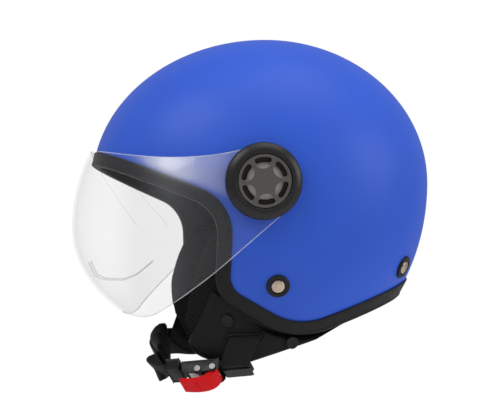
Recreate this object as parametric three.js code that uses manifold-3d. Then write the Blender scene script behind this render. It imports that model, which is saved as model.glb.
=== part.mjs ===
// Open face motorcycle helmet with a clear bubble visor, a foam liner, side pads and a ratchet chin strap.
// Millimetres. +Z is up, the face looks along -Y and the wearer's left is +X.
// The origin is the middle of the visor's pivot axis, in the middle of the head cavity.

import * as THREE from "three";
import { mergeVertices } from "three/addons/utils/BufferGeometryUtils.js";
import Module from "manifold-3d";

const wasm = await Module();
wasm.setup();

// ---------------------------------------------------------------- driving dimensions

const CLEAR = 0.3; // gap between pieces that touch
const FACET = 0.9; // how far a flat facet can fall inside its egg
const WIDE = 400; // longer than the helmet in any direction
const THROUGH = 20; // how far a hole's cutter reaches on each side of a wall

// The shell is an egg: quarter ellipses in side view, rounded across by one exponent.
const EGG = { y: 19.5, z: -0.5, side: 118, front: 139.3, rear: 131.3, crown: 115.8, base: 154, power: 2.2 };
const SHELL_WALL = 4;
const EGG_AROUND = 32; // facets round an egg
const EGG_UP = 16; // facets from its base to its crown

// An egg whose sizes are the shell's less some depths, with its own base.
function inset(depth, base) {
  const side = EGG.side - depth.side;
  const front = EGG.front - depth.front;
  const rear = EGG.rear - depth.rear;
  const crown = EGG.crown - depth.crown;
  return { ...EGG, side, front, rear, crown, base };
}

// The visor's egg stands off the shell's, and its crown is set by the gap left at the brow.
function visorEgg() {
  const browShare = Math.sqrt(1 - ((VISOR.browHeight - EGG.z) / EGG.crown) ** 2);
  const side = EGG.side + VISOR.side;
  const front = EGG.front * VISOR.front;
  const rear = EGG.rear + VISOR.rear;
  const reach = (EGG.front * (browShare + VISOR.browGap)) / front;
  const crown = (VISOR.browHeight - VISOR.z) / Math.sqrt(1 - reach ** 2);
  return { ...EGG, z: VISOR.z, side, front, rear, crown, base: VISOR.base };
}

// The painted edge in side view: corners as [y, z, corner radius].
const PAINT_EDGE = [
  [-160, 41.9, 0],
  [-22.7, -15.4, 40],
  [-23, -83.5, 18],
  [32.3, -114.7, 52],
  [160, -67.5, 0],
];
const EDGE_ARC_STEPS = 5; // facets on each rounded corner of the edge

// Rubber channel that grips the shell's edge.
const TRIM = { width: 10.6, base: 1.6, lip: 1.2, innerWidth: 7 };

// Foam liner, and the comfort lining inside it.
const LINER = { side: 34, front: 31.3, rear: 31.3, crown: 36.8 }; // depth inside the shell's outer surface
const CAVITY = inset(LINER, 175);
const LINER_SHOWS = 5; // how far the foam reaches past the paint edge, behind the trim
const LINING = 6.5;
const CROWN_LINING_FLOOR = 24; // height where the crown lining ends and the bands start
const BROW_BAND_BACK = -30; // the brow band ends here, in front of the temples
const NAPE_BAND = { front: 40, floor: -62 };

// Cheek pads and the leatherette flaps over them, below the shell.
const JAW = EGG.side * 0.733; // half the width over the cheek pads
const PAD_EGG = inset({ side: EGG.side - JAW, front: 4.3, rear: 13.3, crown: 15.8 }, 230);
const PAD_WALL = 28.5; // depth from the flap to the wearer's cheek
const FLAP_WALL = 2.2;
const FLAP_STUDS = [
  [-22, -109],
  [29.5, -127],
]; // side view places of the two studs on each flap
const STUD = { radius: 5, crown: 3.5, height: 1.6, post: 2, depth: 2.4, socket: 4.4 };

const NECK_ROLL = { wall: 14, front: 52, drop: 14 };

// Visor: a bubble that hugs the brow, with its sides flattened into an ear over each pivot.
const VISOR = { z: -37, side: 16, front: 1.1163, rear: 18.7, base: 100, browHeight: 28, browGap: 0.0278 };
const VISOR_EGG = visorEgg();
const VISOR_WALL = 2;
const EAR = { radius: 29, face: EGG.side + 3.3 };
const VISOR_TOP = { sag: [-66, 6], front: [-150, 32.5] }; // the brow edge dips beside the temples
const VISOR_EDGE = [-0.757, -0.653]; // direction of the lower edge, from the ear towards the chin
const VISOR_CHIN = { corner: [-67.8, -98], tip: [-84, -111.5], end: [-110, -95.5] };

// Pivot hardware on each side, outwards along the pivot axis. A face is a distance from the middle.
const PIVOT = { plate: 22, plateFace: EAR.face - VISOR_WALL - CLEAR, hub: 10.6, hubFace: EAR.face + CLEAR };
const WASHER = { outer: 19, wall: 0.8 };
const RING = { outer: 30, face: EAR.face + 8.3, round: 5, inner: 21.4, lip: 2, edge: 1 };
const KNOB = { gap: 0.5, face: RING.face - 0.8, wall: 2.4, edge: 1 };
const SLOT = { count: 6, inner: 14.6, outer: 18.2, angle: 0.74 };
const SCREW = { radius: 2.5, head: 5, headWall: 2.6 };
const NUT = { barrel: 4.2, flange: 9, flangeWall: 1.6, room: 1.5 };
const PIVOT_FACETS = 28;
const SMALL_FACETS = 14;

// Rivets that hold the chin straps and the neck roll to the shell: side view places.
const RIVETS = { front: [14, -81.2], rear: [EGG.y + 0.7776 * EGG.rear, -67.6] };
const RIVET = { head: 5.8, crown: 4.35, headWall: 2, shank: 2.4, tail: 4.2 };
const RIVET_RING = { radius: 9.2, wall: 1.8, sink: 4 }; // cut to the shell from its sink
const RIVET_WASHER = { radius: 7, wall: 1.2 };

// Chin strap, its pad and its ratchet buckle.
const STRAP = { width: 22, wall: 1.8, inset: SHELL_WALL + 3.8, room: 4.5 };
const RIVET_GRIP = STRAP.inset + STRAP.wall / 2 + 2 * CLEAR - SHELL_WALL; // between shell and washer
const CHIN_PAD = { width: 34, wall: 6, from: 0.52, to: 0.74 }; // its ends as shares of the right strap
const STRAP_STEPS = 40;
const CHIN_PAD_STEPS = 12;
const SLIT_ROUTE = [
  [[0.838 * JAW, 0, -112], [-0.1, 1, 0.1]],
  [[0.925 * JAW, -10, -126], [0.1, 0.95, 0.25]],
]; // both straps, from behind the flap out through its slit: [point, direction across the band]
const CHIN_ROUTE = [
  [[-0.925 * JAW, -23, -132], [0.05, 0.7, 0.7]],
  [[-0.832 * JAW, -43, -131], [0, 0.3, 0.95]],
  [[-0.578 * JAW, -60, -132], [0, -0.15, 0.98]],
  [[-0.231 * JAW, -67, -139], [0, -0.45, 0.89]],
  [[0.162 * JAW, -66, -146], [0.1, -0.5, 0.86]],
]; // right strap, on from its slit, round the chin
const BUCKLE = {
  at: [0.769 * JAW, -39, -146.5], // middle of its channel, on the base plate
  along: [0.35, 0.93, 0.1], // from the mouth to the rear
  out: [0.4, -0.25, -0.88], // away from the jaw
  length: 30,
  width: 24,
  plate: 1.6,
  wall: 1.8,
  height: 8.5,
};
const PIN = { radius: 1.5, head: 2.4, headWall: 1 };
const LADDER = { width: 15, wall: 2, tooth: 1.2, pitch: 3.2, inserted: 21, outside: 12 };
const LEVER = { hinge: [10, 5.4], hub: 2.9, wall: 2.6, arm: 27, arch: 9, crest: 14.4, heel: 4, gap: 6 };
const PAWL = { hinge: [-2, 6], hub: 2.4, width: 14, nose: 9, tip: 1.6 };
const KEEPER = { wall: 1.8, length: 7 };
const CLAMP = { wall: 1.6, top: 1 }; // holds the left strap, which crosses behind the channel

// ---------------------------------------------------------------- materials

const paint = { blue: 0x2f50cf, black: 0x161618, rubber: 0x1b1b1d, foam: 0x2b2b2d, fabric: 0x111113 };
const material = (color, roughness, metalness = 0, more = {}) =>
  new THREE.MeshStandardMaterial({ color, roughness, metalness, ...more });
const SHELL_PAINT = material(paint.blue, 0.55);
const RUBBER = material(paint.rubber, 0.8);
const FOAM = material(paint.foam, 0.95);
const FABRIC = material(paint.fabric, 1);
const LEATHERETTE = material(0x18181a, 0.7);
const PLASTIC = material(paint.black, 0.6);
const GUNMETAL = material(0x6b6560, 0.45, 0.4);
const STEEL = material(0xb9b2a8, 0.35, 0.9);
const RED = material(0xc9101a, 0.4);
const CLEAR_PLASTIC = material(0xf4f6f8, 0.05, 0, { transparent: true, opacity: 0.3 });

// ---------------------------------------------------------------- solids

const helmet = new THREE.Group();

// A manifold solid from a closed three.js geometry.
function solid(geometry, matrix = new THREE.Matrix4()) {
  const bare = geometry.index ? geometry.toNonIndexed() : geometry.clone();
  const points = new THREE.BufferGeometry().setAttribute("position", bare.getAttribute("position"));
  const merged = mergeVertices(points.applyMatrix4(matrix), 1e-4);
  const corners = merged.index.array;
  const kept = [];
  for (let i = 0; i < corners.length; i += 3) {
    const [a, b, c] = corners.subarray(i, i + 3);
    if (a !== b && b !== c && c !== a) kept.push(a, b, c);
  }
  const vertProperties = merged.attributes.position.array;
  return new wasm.Manifold(new wasm.Mesh({ numProp: 3, vertProperties, triVerts: new Uint32Array(kept) }));
}

// Names a solid, gives it its material and hangs it on the helmet.
function place(name, body, look, parent = helmet) {
  const mesh = body.getMesh();
  const geometry = new THREE.BufferGeometry();
  geometry.setAttribute("position", new THREE.BufferAttribute(mesh.vertProperties, 3));
  geometry.setIndex(new THREE.BufferAttribute(mesh.triVerts, 1));
  geometry.computeVertexNormals();
  const made = new THREE.Mesh(geometry, look);
  made.name = name;
  parent.add(made);
  return made;
}

const mirror = (body) => body.mirror([1, 0, 0]);

// Every size of an egg grown by the same amount.
function grown(egg, by) {
  const { side, front, rear, crown, base } = egg;
  return { ...egg, side: side + by, front: front + by, rear: rear + by, crown: crown + by, base: base + by };
}

// Share of the way from the egg's middle to its outline in side view.
function share(egg, y, z) {
  const along = (y - egg.y) / (y < egg.y ? egg.front : egg.rear);
  const up = (z - egg.z) / (z < egg.z ? egg.base : egg.crown);
  return Math.hypot(along, up);
}

// Half the egg's width at a point in side view.
function halfWidth(egg, y, z) {
  return egg.side * Math.max(0, 1 - share(egg, y, z) ** egg.power) ** (1 / egg.power);
}

// The egg as a closed solid: each point of a unit sphere moves out to the egg's surface.
function eggSolid(egg) {
  const sphere = new THREE.SphereGeometry(1, EGG_AROUND, EGG_UP).rotateX(Math.PI / 2);
  const points = sphere.attributes.position;
  const ray = new THREE.Vector3();
  for (let i = 0; i < points.count; i++) {
    ray.fromBufferAttribute(points, i);
    const flat = share(egg, ray.y + egg.y, ray.z + egg.z);
    const size = ((Math.abs(ray.x) / egg.side) ** egg.power + flat ** egg.power) ** (-1 / egg.power);
    points.setXYZ(i, ray.x * size, ray.y * size + egg.y, ray.z * size + egg.z);
  }
  return solid(sphere);
}

const skin = (egg, outer, inner) => eggSolid(grown(egg, outer)).subtract(eggSolid(grown(egg, inner)));

// A side view shape, extruded across the helmet from one x to another.
function across(shape, from = -WIDE / 2, to = WIDE / 2, curveSegments = 8) {
  const bar = new THREE.ExtrudeGeometry(shape, { depth: to - from, bevelEnabled: false, curveSegments });
  const sideView = new THREE.Matrix4().set(0, 0, 1, from, 1, 0, 0, 0, 0, 1, 0, 0, 0, 0, 0, 1);
  return solid(bar, sideView);
}

const polygon = (points) => new THREE.Shape(points.map(([y, z]) => new THREE.Vector2(y, z)));

const box = (low, high) =>
  across(
    polygon([
      [low[1], low[2]],
      [high[1], low[2]],
      [high[1], high[2]],
      [low[1], high[2]],
    ]),
    low[0],
    high[0],
  );

// A round solid about its own +Z axis, from a profile of [radius, height] points.
function turned(profile, facets = SMALL_FACETS) {
  const lathe = new THREE.LatheGeometry(
    profile.map(([radius, height]) => new THREE.Vector2(radius, height)),
    facets,
  );
  return solid(lathe.rotateX(Math.PI / 2));
}

const disc = (radius, from, to, facets) =>
  turned(
    [
      [0, from],
      [radius, from],
      [radius, to],
      [0, to],
    ],
    facets,
  );

const ring = (inner, outer, from, to, facets) =>
  turned(
    [
      [inner, from],
      [outer, from],
      [outer, to],
      [inner, to],
      [inner, from],
    ],
    facets,
  );

// Moves a solid from its own axes to the helmet's.
const seated = (body, matrix) => body.transform(matrix.toArray());

// A seat on the left side: +Z runs out along the pivot axis.
const PIVOT_SEAT = new THREE.Matrix4().makeRotationY(Math.PI / 2);

// A seat on the left of an egg: its +Z is the egg's outward normal there.
function eggSeat(egg, [y, z], out = 0) {
  const point = new THREE.Vector3(halfWidth(egg, y, z), y, z);
  const flat = share(egg, y, z);
  const pull = flat ** (egg.power - 2);
  const depth = y < egg.y ? egg.front : egg.rear;
  const rise = z < egg.z ? egg.base : egg.crown;
  const normal = new THREE.Vector3(
    point.x ** (egg.power - 1) / egg.side ** egg.power,
    (pull * (y - egg.y)) / depth ** 2,
    (pull * (z - egg.z)) / rise ** 2,
  ).normalize();
  const turn = new THREE.Quaternion().setFromUnitVectors(new THREE.Vector3(0, 0, 1), normal);
  return new THREE.Matrix4().compose(point.addScaledVector(normal, out), turn, new THREE.Vector3(1, 1, 1));
}

// A flat band along a curve: stations are [point, direction across the band].
function band(stations, width, wall, { lift = 0, from = 0, to = 1, steps = STRAP_STEPS } = {}) {
  const route = new THREE.CatmullRomCurve3(stations.map(([point]) => new THREE.Vector3(...point)));
  const sway = new THREE.CatmullRomCurve3(stations.map(([, side]) => new THREE.Vector3(...side)));
  const corners = [];
  for (let i = 0; i <= steps; i++) {
    const t = from + ((to - from) * i) / steps;
    const run = route.getTangent(t);
    const side = sway.getPoint(t).addScaledVector(run, -sway.getPoint(t).dot(run)).normalize();
    const face = new THREE.Vector3().crossVectors(run, side);
    for (const [s, f] of [[-1, -1], [1, -1], [1, 1], [-1, 1]]) {
      const corner = route.getPoint(t).addScaledVector(side, (s * width) / 2);
      corners.push(corner.addScaledVector(face, lift + (f * wall) / 2));
    }
  }
  const faces = [];
  const quad = (a, b, c, d) => faces.push(a, b, c, a, c, d);
  for (let i = 0; i < steps; i++) {
    for (let k = 0; k < 4; k++) {
      const next = (k + 1) % 4;
      quad(4 * i + k, 4 * i + next, 4 * i + 4 + next, 4 * i + 4 + k);
    }
  }
  const end = 4 * steps;
  quad(3, 2, 1, 0);
  quad(end, end + 1, end + 2, end + 3);
  const geometry = new THREE.BufferGeometry().setFromPoints(corners).setIndex(faces);
  return solid(geometry);
}

// ---------------------------------------------------------------- the shell's edge

// The paint edge, moved out by a distance: straight runs joined by arcs.
function edgePoints(out) {
  const points = [];
  const corner = PAINT_EDGE.map(([y, z]) => new THREE.Vector2(y, z));
  const run = (i) => corner[i + 1].clone().sub(corner[i]).normalize();
  const outward = (d) => new THREE.Vector2(d.y, -d.x); // towards the face opening and the neck
  const last = corner.length - 1;
  points.push(corner[0].clone().addScaledVector(outward(run(0)), out));
  for (let i = 1; i < last; i++) {
    const before = run(i - 1);
    const after = run(i);
    const turn = before.cross(after); // positive where the shell wraps round its corner
    const bend = Math.sign(turn);
    const radius = PAINT_EDGE[i][2];
    const half = Math.acos(THREE.MathUtils.clamp(before.dot(after), -1, 1)) / 2;
    const start = corner[i].clone().addScaledVector(before, -radius * Math.tan(half));
    const centre = start.addScaledVector(outward(before), -bend * radius);
    const first = Math.atan2(bend * outward(before).y, bend * outward(before).x);
    for (let k = 0; k <= EDGE_ARC_STEPS; k++) {
      const angle = first + (bend * 2 * half * k) / EDGE_ARC_STEPS;
      const reach = radius + bend * out;
      points.push(new THREE.Vector2(centre.x + reach * Math.cos(angle), centre.y + reach * Math.sin(angle)));
    }
  }
  points.push(corner[last].clone().addScaledVector(outward(run(last - 1)), out));
  return points;
}

// Everything above and behind the edge, as a block across the helmet.
function coveredBlock(out) {
  const edge = edgePoints(out);
  const sky = [
    new THREE.Vector2(WIDE / 2, edge[edge.length - 1].y),
    new THREE.Vector2(WIDE / 2, WIDE / 2),
    new THREE.Vector2(-WIDE / 2, WIDE / 2),
    new THREE.Vector2(-WIDE / 2, edge[0].y),
  ];
  return across(new THREE.Shape([...edge, ...sky]));
}

// ---------------------------------------------------------------- shell and trim

const sides = { left: (body) => body, right: mirror };
const both = (body) => body.add(mirror(body));
const rivetSeats = Object.entries(RIVETS).map(([name, at]) => [name, eggSeat(EGG, at)]);

let shell = skin(EGG, 0, -SHELL_WALL).intersect(coveredBlock(TRIM.width - TRIM.base));
for (const [, seat] of rivetSeats) {
  shell = shell.subtract(both(seated(disc(RIVET.shank + CLEAR, -THROUGH, THROUGH), seat)));
}
shell = shell.subtract(both(seated(disc(NUT.barrel + CLEAR, 0, WIDE / 2), PIVOT_SEAT)));
place("outer_shell", shell, SHELL_PAINT);

const channelOut = CLEAR + TRIM.lip;
const channel = skin(EGG, channelOut, -SHELL_WALL - channelOut);
const lips = channel.intersect(coveredBlock(TRIM.width)).subtract(coveredBlock(0));
const insideShell = eggSolid(grown(EGG, -SHELL_WALL / 2));
const aboveInnerLip = insideShell.intersect(coveredBlock(TRIM.width - TRIM.innerWidth));
const grip = skin(EGG, CLEAR, -SHELL_WALL - CLEAR);
const gripped = grip.intersect(coveredBlock(TRIM.width - TRIM.base + CLEAR));
place("edge_trim", lips.subtract(aboveInnerLip).subtract(gripped), RUBBER);

// The pivot's nut: its flange bears on the shell's inside and its barrel fills the shell's hole.
const pivotSkin = halfWidth(EGG, 0, 0);
const nutTop = pivotSkin - SHELL_WALL;
const flangeFace = Math.min(halfWidth(grown(EGG, -SHELL_WALL), 0, NUT.flange), nutTop) - 2 * FACET;
const shankEnd = flangeFace - NUT.flangeWall - 1;

// ---------------------------------------------------------------- chin strap routes

// Inside the shell a strap hangs from the front rivet and clears the trim's inner lip.
function strapInside(y, z, sign) {
  return [[sign * halfWidth(grown(EGG, -STRAP.inset), y, z), y, z], [0, 1, 0]];
}
const [rivetY, rivetZ] = RIVETS.front;
const buckleAxes = new THREE.Matrix4();
const along = new THREE.Vector3(...BUCKLE.along).normalize();
const out = new THREE.Vector3(...BUCKLE.out);
out.addScaledVector(along, -out.dot(along)).normalize();
const sideways = new THREE.Vector3().crossVectors(out, along);
buckleAxes.makeBasis(along, sideways, out).setPosition(...BUCKLE.at);
const inBuckle = (x, y, z) => new THREE.Vector3(x, y, z).applyMatrix4(buckleAxes).toArray();
const acrossBuckle = sideways.toArray();
const mouth = -BUCKLE.length / 2;
const ladderEnd = mouth - LADDER.outside;
const ladderMiddle = CLEAR + LADDER.wall / 2;
const strapOnLadder = ladderMiddle - LADDER.wall / 2 - CLEAR - STRAP.wall / 2;
const flipped = ([[x, y, z], [i, j, k]]) => [[-x, y, z], [-i, j, k]];
const rightRoute = [
  strapInside(rivetY + 1, rivetZ + 8, -1),
  strapInside(rivetY + 2, rivetZ - 8, -1),
  ...SLIT_ROUTE.map(flipped),
  ...CHIN_ROUTE,
  [inBuckle(ladderEnd - 12, 0, strapOnLadder - 2), acrossBuckle],
  [inBuckle(ladderEnd - 2, 0, strapOnLadder), acrossBuckle],
  [inBuckle(ladderEnd + 9, 0, strapOnLadder), acrossBuckle],
];
const clampFrom = BUCKLE.length / 2 + CLEAR;
const clampEnd = clampFrom + STRAP.width + 2 * CLEAR;
const clampAt = (clampFrom + clampEnd) / 2;
const clampMiddle = 2 * CLEAR + STRAP.wall / 2;
const leftRoute = [
  strapInside(rivetY + 1, rivetZ + 8, 1),
  strapInside(rivetY + 2, rivetZ - 8, 1),
  ...SLIT_ROUTE,
  ...[3.5, -2, -11].map((up) => [inBuckle(clampAt, CLAMP.top + up, clampMiddle), BUCKLE.along]),
];
const routes = { left: leftRoute, right: rightRoute };

// The chin pad's band along the right strap, on the side of the jaw, grown by a distance.
function chinPadBand(grow) {
  const lift = -(STRAP.wall / 2 + 2 * CLEAR + CHIN_PAD.wall / 2);
  const span = { lift, from: CHIN_PAD.from, to: CHIN_PAD.to, steps: CHIN_PAD_STEPS };
  return band(rightRoute, CHIN_PAD.width + 2 * grow, CHIN_PAD.wall + 2 * grow, span);
}

// ---------------------------------------------------------------- liner, lining and pads

// Side view outline of a cheek pad, from its top, down the front and back along the neck.
const PAD_OUTLINE = new THREE.Shape();
PAD_OUTLINE.moveTo(28, -40);
PAD_OUTLINE.lineTo(-30, -34);
PAD_OUTLINE.quadraticCurveTo(-45, -55, -50, -82);
PAD_OUTLINE.quadraticCurveTo(-61, -112, -50, -133);
PAD_OUTLINE.quadraticCurveTo(-40, -144, -8, -143);
PAD_OUTLINE.lineTo(28, -132.5);
PAD_OUTLINE.closePath();

// The flap follows the pad's lower front and runs on below the shell's edge to the nape.
const FLAP_OUTLINE = new THREE.Shape();
FLAP_OUTLINE.moveTo(-33, -88);
FLAP_OUTLINE.lineTo(-50, -124);
FLAP_OUTLINE.quadraticCurveTo(-42, -144, -6, -144);
FLAP_OUTLINE.lineTo(49, -125);
FLAP_OUTLINE.lineTo(88, -104);
FLAP_OUTLINE.lineTo(84, -92);
FLAP_OUTLINE.lineTo(34, -104);
FLAP_OUTLINE.closePath();

const PAD_CURVES = 4;
const flapEgg = grown(PAD_EGG, CLEAR + FLAP_WALL);
const trimInside = SHELL_WALL + channelOut + CLEAR;

// Room inside an egg, kept off the trim's inner lip by a distance.
function insideTrim(egg, off) {
  const lip = coveredBlock(TRIM.width + CLEAR + off).subtract(eggSolid(grown(EGG, -trimInside - off)));
  return eggSolid(egg).subtract(lip);
}
const padBlock = across(PAD_OUTLINE, JAW - PAD_WALL, WIDE / 2, PAD_CURVES);
const pad = padBlock.intersect(insideTrim(PAD_EGG, FLAP_WALL + CLEAR));
const padRoom = across(PAD_OUTLINE, 0, WIDE / 2, PAD_CURVES).intersect(eggSolid(grown(flapEgg, CLEAR)));
const flapWall = insideTrim(flapEgg, 0).subtract(insideTrim(grown(flapEgg, -FLAP_WALL), FLAP_WALL));
const flapPlate = across(FLAP_OUTLINE, 0, WIDE / 2, PAD_CURVES).subtract(coveredBlock(LINER_SHOWS + CLEAR));
const flap = flapWall.intersect(flapPlate);
const stackDepth = SHELL_WALL + RIVET_GRIP + RIVET_WASHER.wall + RIVET.tail;
const rivetRoom = RIVET_WASHER.radius + 1;

const trimRoom = skin(EGG, 0, -trimInside).subtract(coveredBlock(TRIM.width - TRIM.innerWidth - CLEAR));
const liningEgg = grown(CAVITY, -CLEAR);
let liner = eggSolid(grown(EGG, -SHELL_WALL - CLEAR)).subtract(eggSolid(CAVITY));
liner = liner.intersect(coveredBlock(LINER_SHOWS)).subtract(trimRoom);
const strapRoom = {};
const pocketHalf = STRAP.width / 2 + STRAP.room;
const pocketBox = box([0, rivetY - 2 * pocketHalf, -WIDE], [WIDE, rivetY + pocketHalf, rivetZ + pocketHalf]);
const strapPocket = skin(EGG, 0, -STRAP.inset - STRAP.wall - STRAP.room).intersect(pocketBox);
for (const side of Object.keys(sides)) {
  strapRoom[side] = band(routes[side], STRAP.width + STRAP.room, STRAP.wall + STRAP.room);
}
strapRoom.right = strapRoom.right.add(chinPadBand(2 * CLEAR));
for (const [, turn] of Object.entries(sides)) {
  liner = liner.subtract(turn(padRoom)).subtract(turn(strapPocket));
  const nutRoom = disc(NUT.flange + NUT.room, shankEnd - NUT.room, WIDE / 2);
  liner = liner.subtract(turn(seated(nutRoom, PIVOT_SEAT)));
  for (const [, seat] of rivetSeats) {
    liner = liner.subtract(turn(seated(disc(rivetRoom, -stackDepth, THROUGH), seat)));
  }
}
place("foam_liner", liner, FOAM);

const lining = skin(liningEgg, 0, -LINING);
const above = (z) => box([-WIDE / 2, -WIDE / 2, z], [WIDE / 2, WIDE / 2, WIDE / 2]);
const inFrontOf = (y) => box([-WIDE / 2, -WIDE / 2, -WIDE / 2], [WIDE / 2, y, WIDE / 2]);
place("crown_lining", lining.intersect(above(CROWN_LINING_FLOOR)), FABRIC);
const belowCrown = lining.subtract(above(CROWN_LINING_FLOOR - CLEAR));
place("brow_lining", belowCrown.intersect(inFrontOf(BROW_BAND_BACK)).intersect(coveredBlock(0)), FABRIC);
const behindEars = belowCrown.subtract(inFrontOf(NAPE_BAND.front));
place("nape_lining", behindEars.intersect(above(NAPE_BAND.floor)), FABRIC);

const rollSkin = skin(CAVITY, -CLEAR, -NECK_ROLL.wall).subtract(inFrontOf(NECK_ROLL.front));
const roll = rollSkin.subtract(above(NAPE_BAND.floor - CLEAR)).intersect(coveredBlock(NECK_ROLL.drop));
const behindFlaps = insideTrim(grown(flapEgg, -FLAP_WALL - CLEAR), FLAP_WALL + CLEAR);
place("neck_roll", roll.intersect(behindFlaps), LEATHERETTE);

for (const [side, turn] of Object.entries(sides)) {
  let cheek = turn(pad).subtract(strapRoom[side]);
  let cover = turn(flap).subtract(strapRoom[side]);
  FLAP_STUDS.forEach((at, i) => {
    const seat = eggSeat(flapEgg, at);
    const roomEnd = -FLAP_WALL - STUD.depth - FACET - CLEAR;
    const postRoom = turn(seated(disc(STUD.post + CLEAR, roomEnd, 1), seat));
    const socketRoom = seated(disc(STUD.socket + CLEAR, roomEnd, -FLAP_WALL), seat);
    cover = cover.subtract(postRoom).subtract(turn(socketRoom));
    cheek = cheek.subtract(postRoom).subtract(turn(socketRoom));
    const cap = turned([
      [0, -FLAP_WALL - STUD.depth],
      [STUD.post, -FLAP_WALL - STUD.depth],
      [STUD.post, CLEAR],
      [STUD.radius, CLEAR],
      [STUD.radius, CLEAR + STUD.height / 2],
      [STUD.crown, CLEAR + STUD.height],
      [0, CLEAR + STUD.height],
    ]);
    const name = ["front", "rear"][i];
    place(`flap_stud_${name}_${side}`, turn(seated(cap, seat)), PLASTIC);
    const socketTop = -FLAP_WALL - CLEAR - FACET;
    const socket = ring(STUD.post + CLEAR, STUD.socket, socketTop - STUD.depth + CLEAR, socketTop);
    place(`stud_socket_${name}_${side}`, turn(seated(socket, seat)), PLASTIC);
  });
  place(`cheek_pad_${side}`, cheek, FABRIC);
  place(`ear_flap_${side}`, cover, LEATHERETTE);
}

// ---------------------------------------------------------------- strap rivets

const washerTop = -SHELL_WALL - RIVET_GRIP;
for (const [side, turn] of Object.entries(sides)) {
  for (const [name, seat] of rivetSeats) {
    const ringTop = CLEAR + RIVET_RING.wall;
    const headSeat = ringTop + CLEAR;
    const tailTop = washerTop - RIVET_WASHER.wall - CLEAR;
    const rivet = turned([
      [0, tailTop - RIVET.headWall],
      [RIVET.tail, tailTop - RIVET.headWall],
      [RIVET.tail, tailTop],
      [RIVET.shank, tailTop],
      [RIVET.shank, headSeat],
      [RIVET.head, headSeat],
      [RIVET.head, headSeat + RIVET.headWall / 2],
      [RIVET.crown, headSeat + RIVET.headWall],
      [0, headSeat + RIVET.headWall],
    ]);
    const collar = ring(RIVET.shank + CLEAR, RIVET_RING.radius, -RIVET_RING.sink, ringTop, 24);
    const cut = eggSolid(grown(EGG, CLEAR));
    place(`strap_rivet_${name}_${side}`, turn(seated(rivet, seat)), STEEL);
    place(`rivet_ring_${name}_${side}`, turn(seated(collar, seat)).subtract(cut), PLASTIC);
    const washer = ring(RIVET.shank + CLEAR, RIVET_WASHER.radius, washerTop - RIVET_WASHER.wall, washerTop);
    place(`rivet_washer_${name}_${side}`, turn(seated(washer, seat)), STEEL);
  }
}

// ---------------------------------------------------------------- visor and its pivots

const VISOR_OUTLINE = new THREE.Shape();
VISOR_OUTLINE.moveTo(0, EAR.radius);
VISOR_OUTLINE.quadraticCurveTo(...VISOR_TOP.sag, ...VISOR_TOP.front);
VISOR_OUTLINE.lineTo(VISOR_TOP.front[0], VISOR_CHIN.end[1]);
VISOR_OUTLINE.lineTo(...VISOR_CHIN.end);
VISOR_OUTLINE.lineTo(...VISOR_CHIN.tip);
VISOR_OUTLINE.lineTo(...VISOR_CHIN.corner);
const earTurn = Math.atan2(-VISOR_EDGE[0], VISOR_EDGE[1]);
VISOR_OUTLINE.absarc(0, 0, EAR.radius, -(Math.PI - earTurn), Math.PI / 2, false);

const earBlock = (face) => box([-face, -WIDE / 2, -WIDE / 2], [face, WIDE / 2, WIDE / 2]);
const visorOuter = eggSolid(VISOR_EGG).intersect(earBlock(EAR.face));
const visorInner = eggSolid(grown(VISOR_EGG, -VISOR_WALL)).intersect(earBlock(EAR.face - VISOR_WALL));
const hubHole = seated(disc(PIVOT.hub + CLEAR, -WIDE, WIDE), PIVOT_SEAT);
const visor = visorOuter.subtract(visorInner).intersect(across(VISOR_OUTLINE, undefined, undefined, 10));
place("visor", visor.subtract(hubHole), CLEAR_PLASTIC);

const washerBack = PIVOT.hubFace + CLEAR;
const washerFace = washerBack + WASHER.wall;
const headSeat = washerFace + CLEAR;
const knobRadius = RING.inner - KNOB.gap;

// Arc slots right through the knob's face.
function knobSlots() {
  const slots = [];
  for (let i = 0; i < SLOT.count; i++) {
    const middle = Math.PI / 2 + (i * 2 * Math.PI) / SLOT.count;
    const slot = new THREE.Shape();
    slot.absarc(0, 0, SLOT.outer, middle - SLOT.angle / 2, middle + SLOT.angle / 2, false);
    slot.absarc(0, 0, SLOT.inner, middle + SLOT.angle / 2, middle - SLOT.angle / 2, true);
    const depth = 2 * KNOB.wall;
    const bar = new THREE.ExtrudeGeometry(slot, { depth, bevelEnabled: false, curveSegments: 3 });
    slots.push(solid(bar.translate(0, 0, KNOB.face - 1.5 * KNOB.wall)));
  }
  return slots;
}

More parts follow.
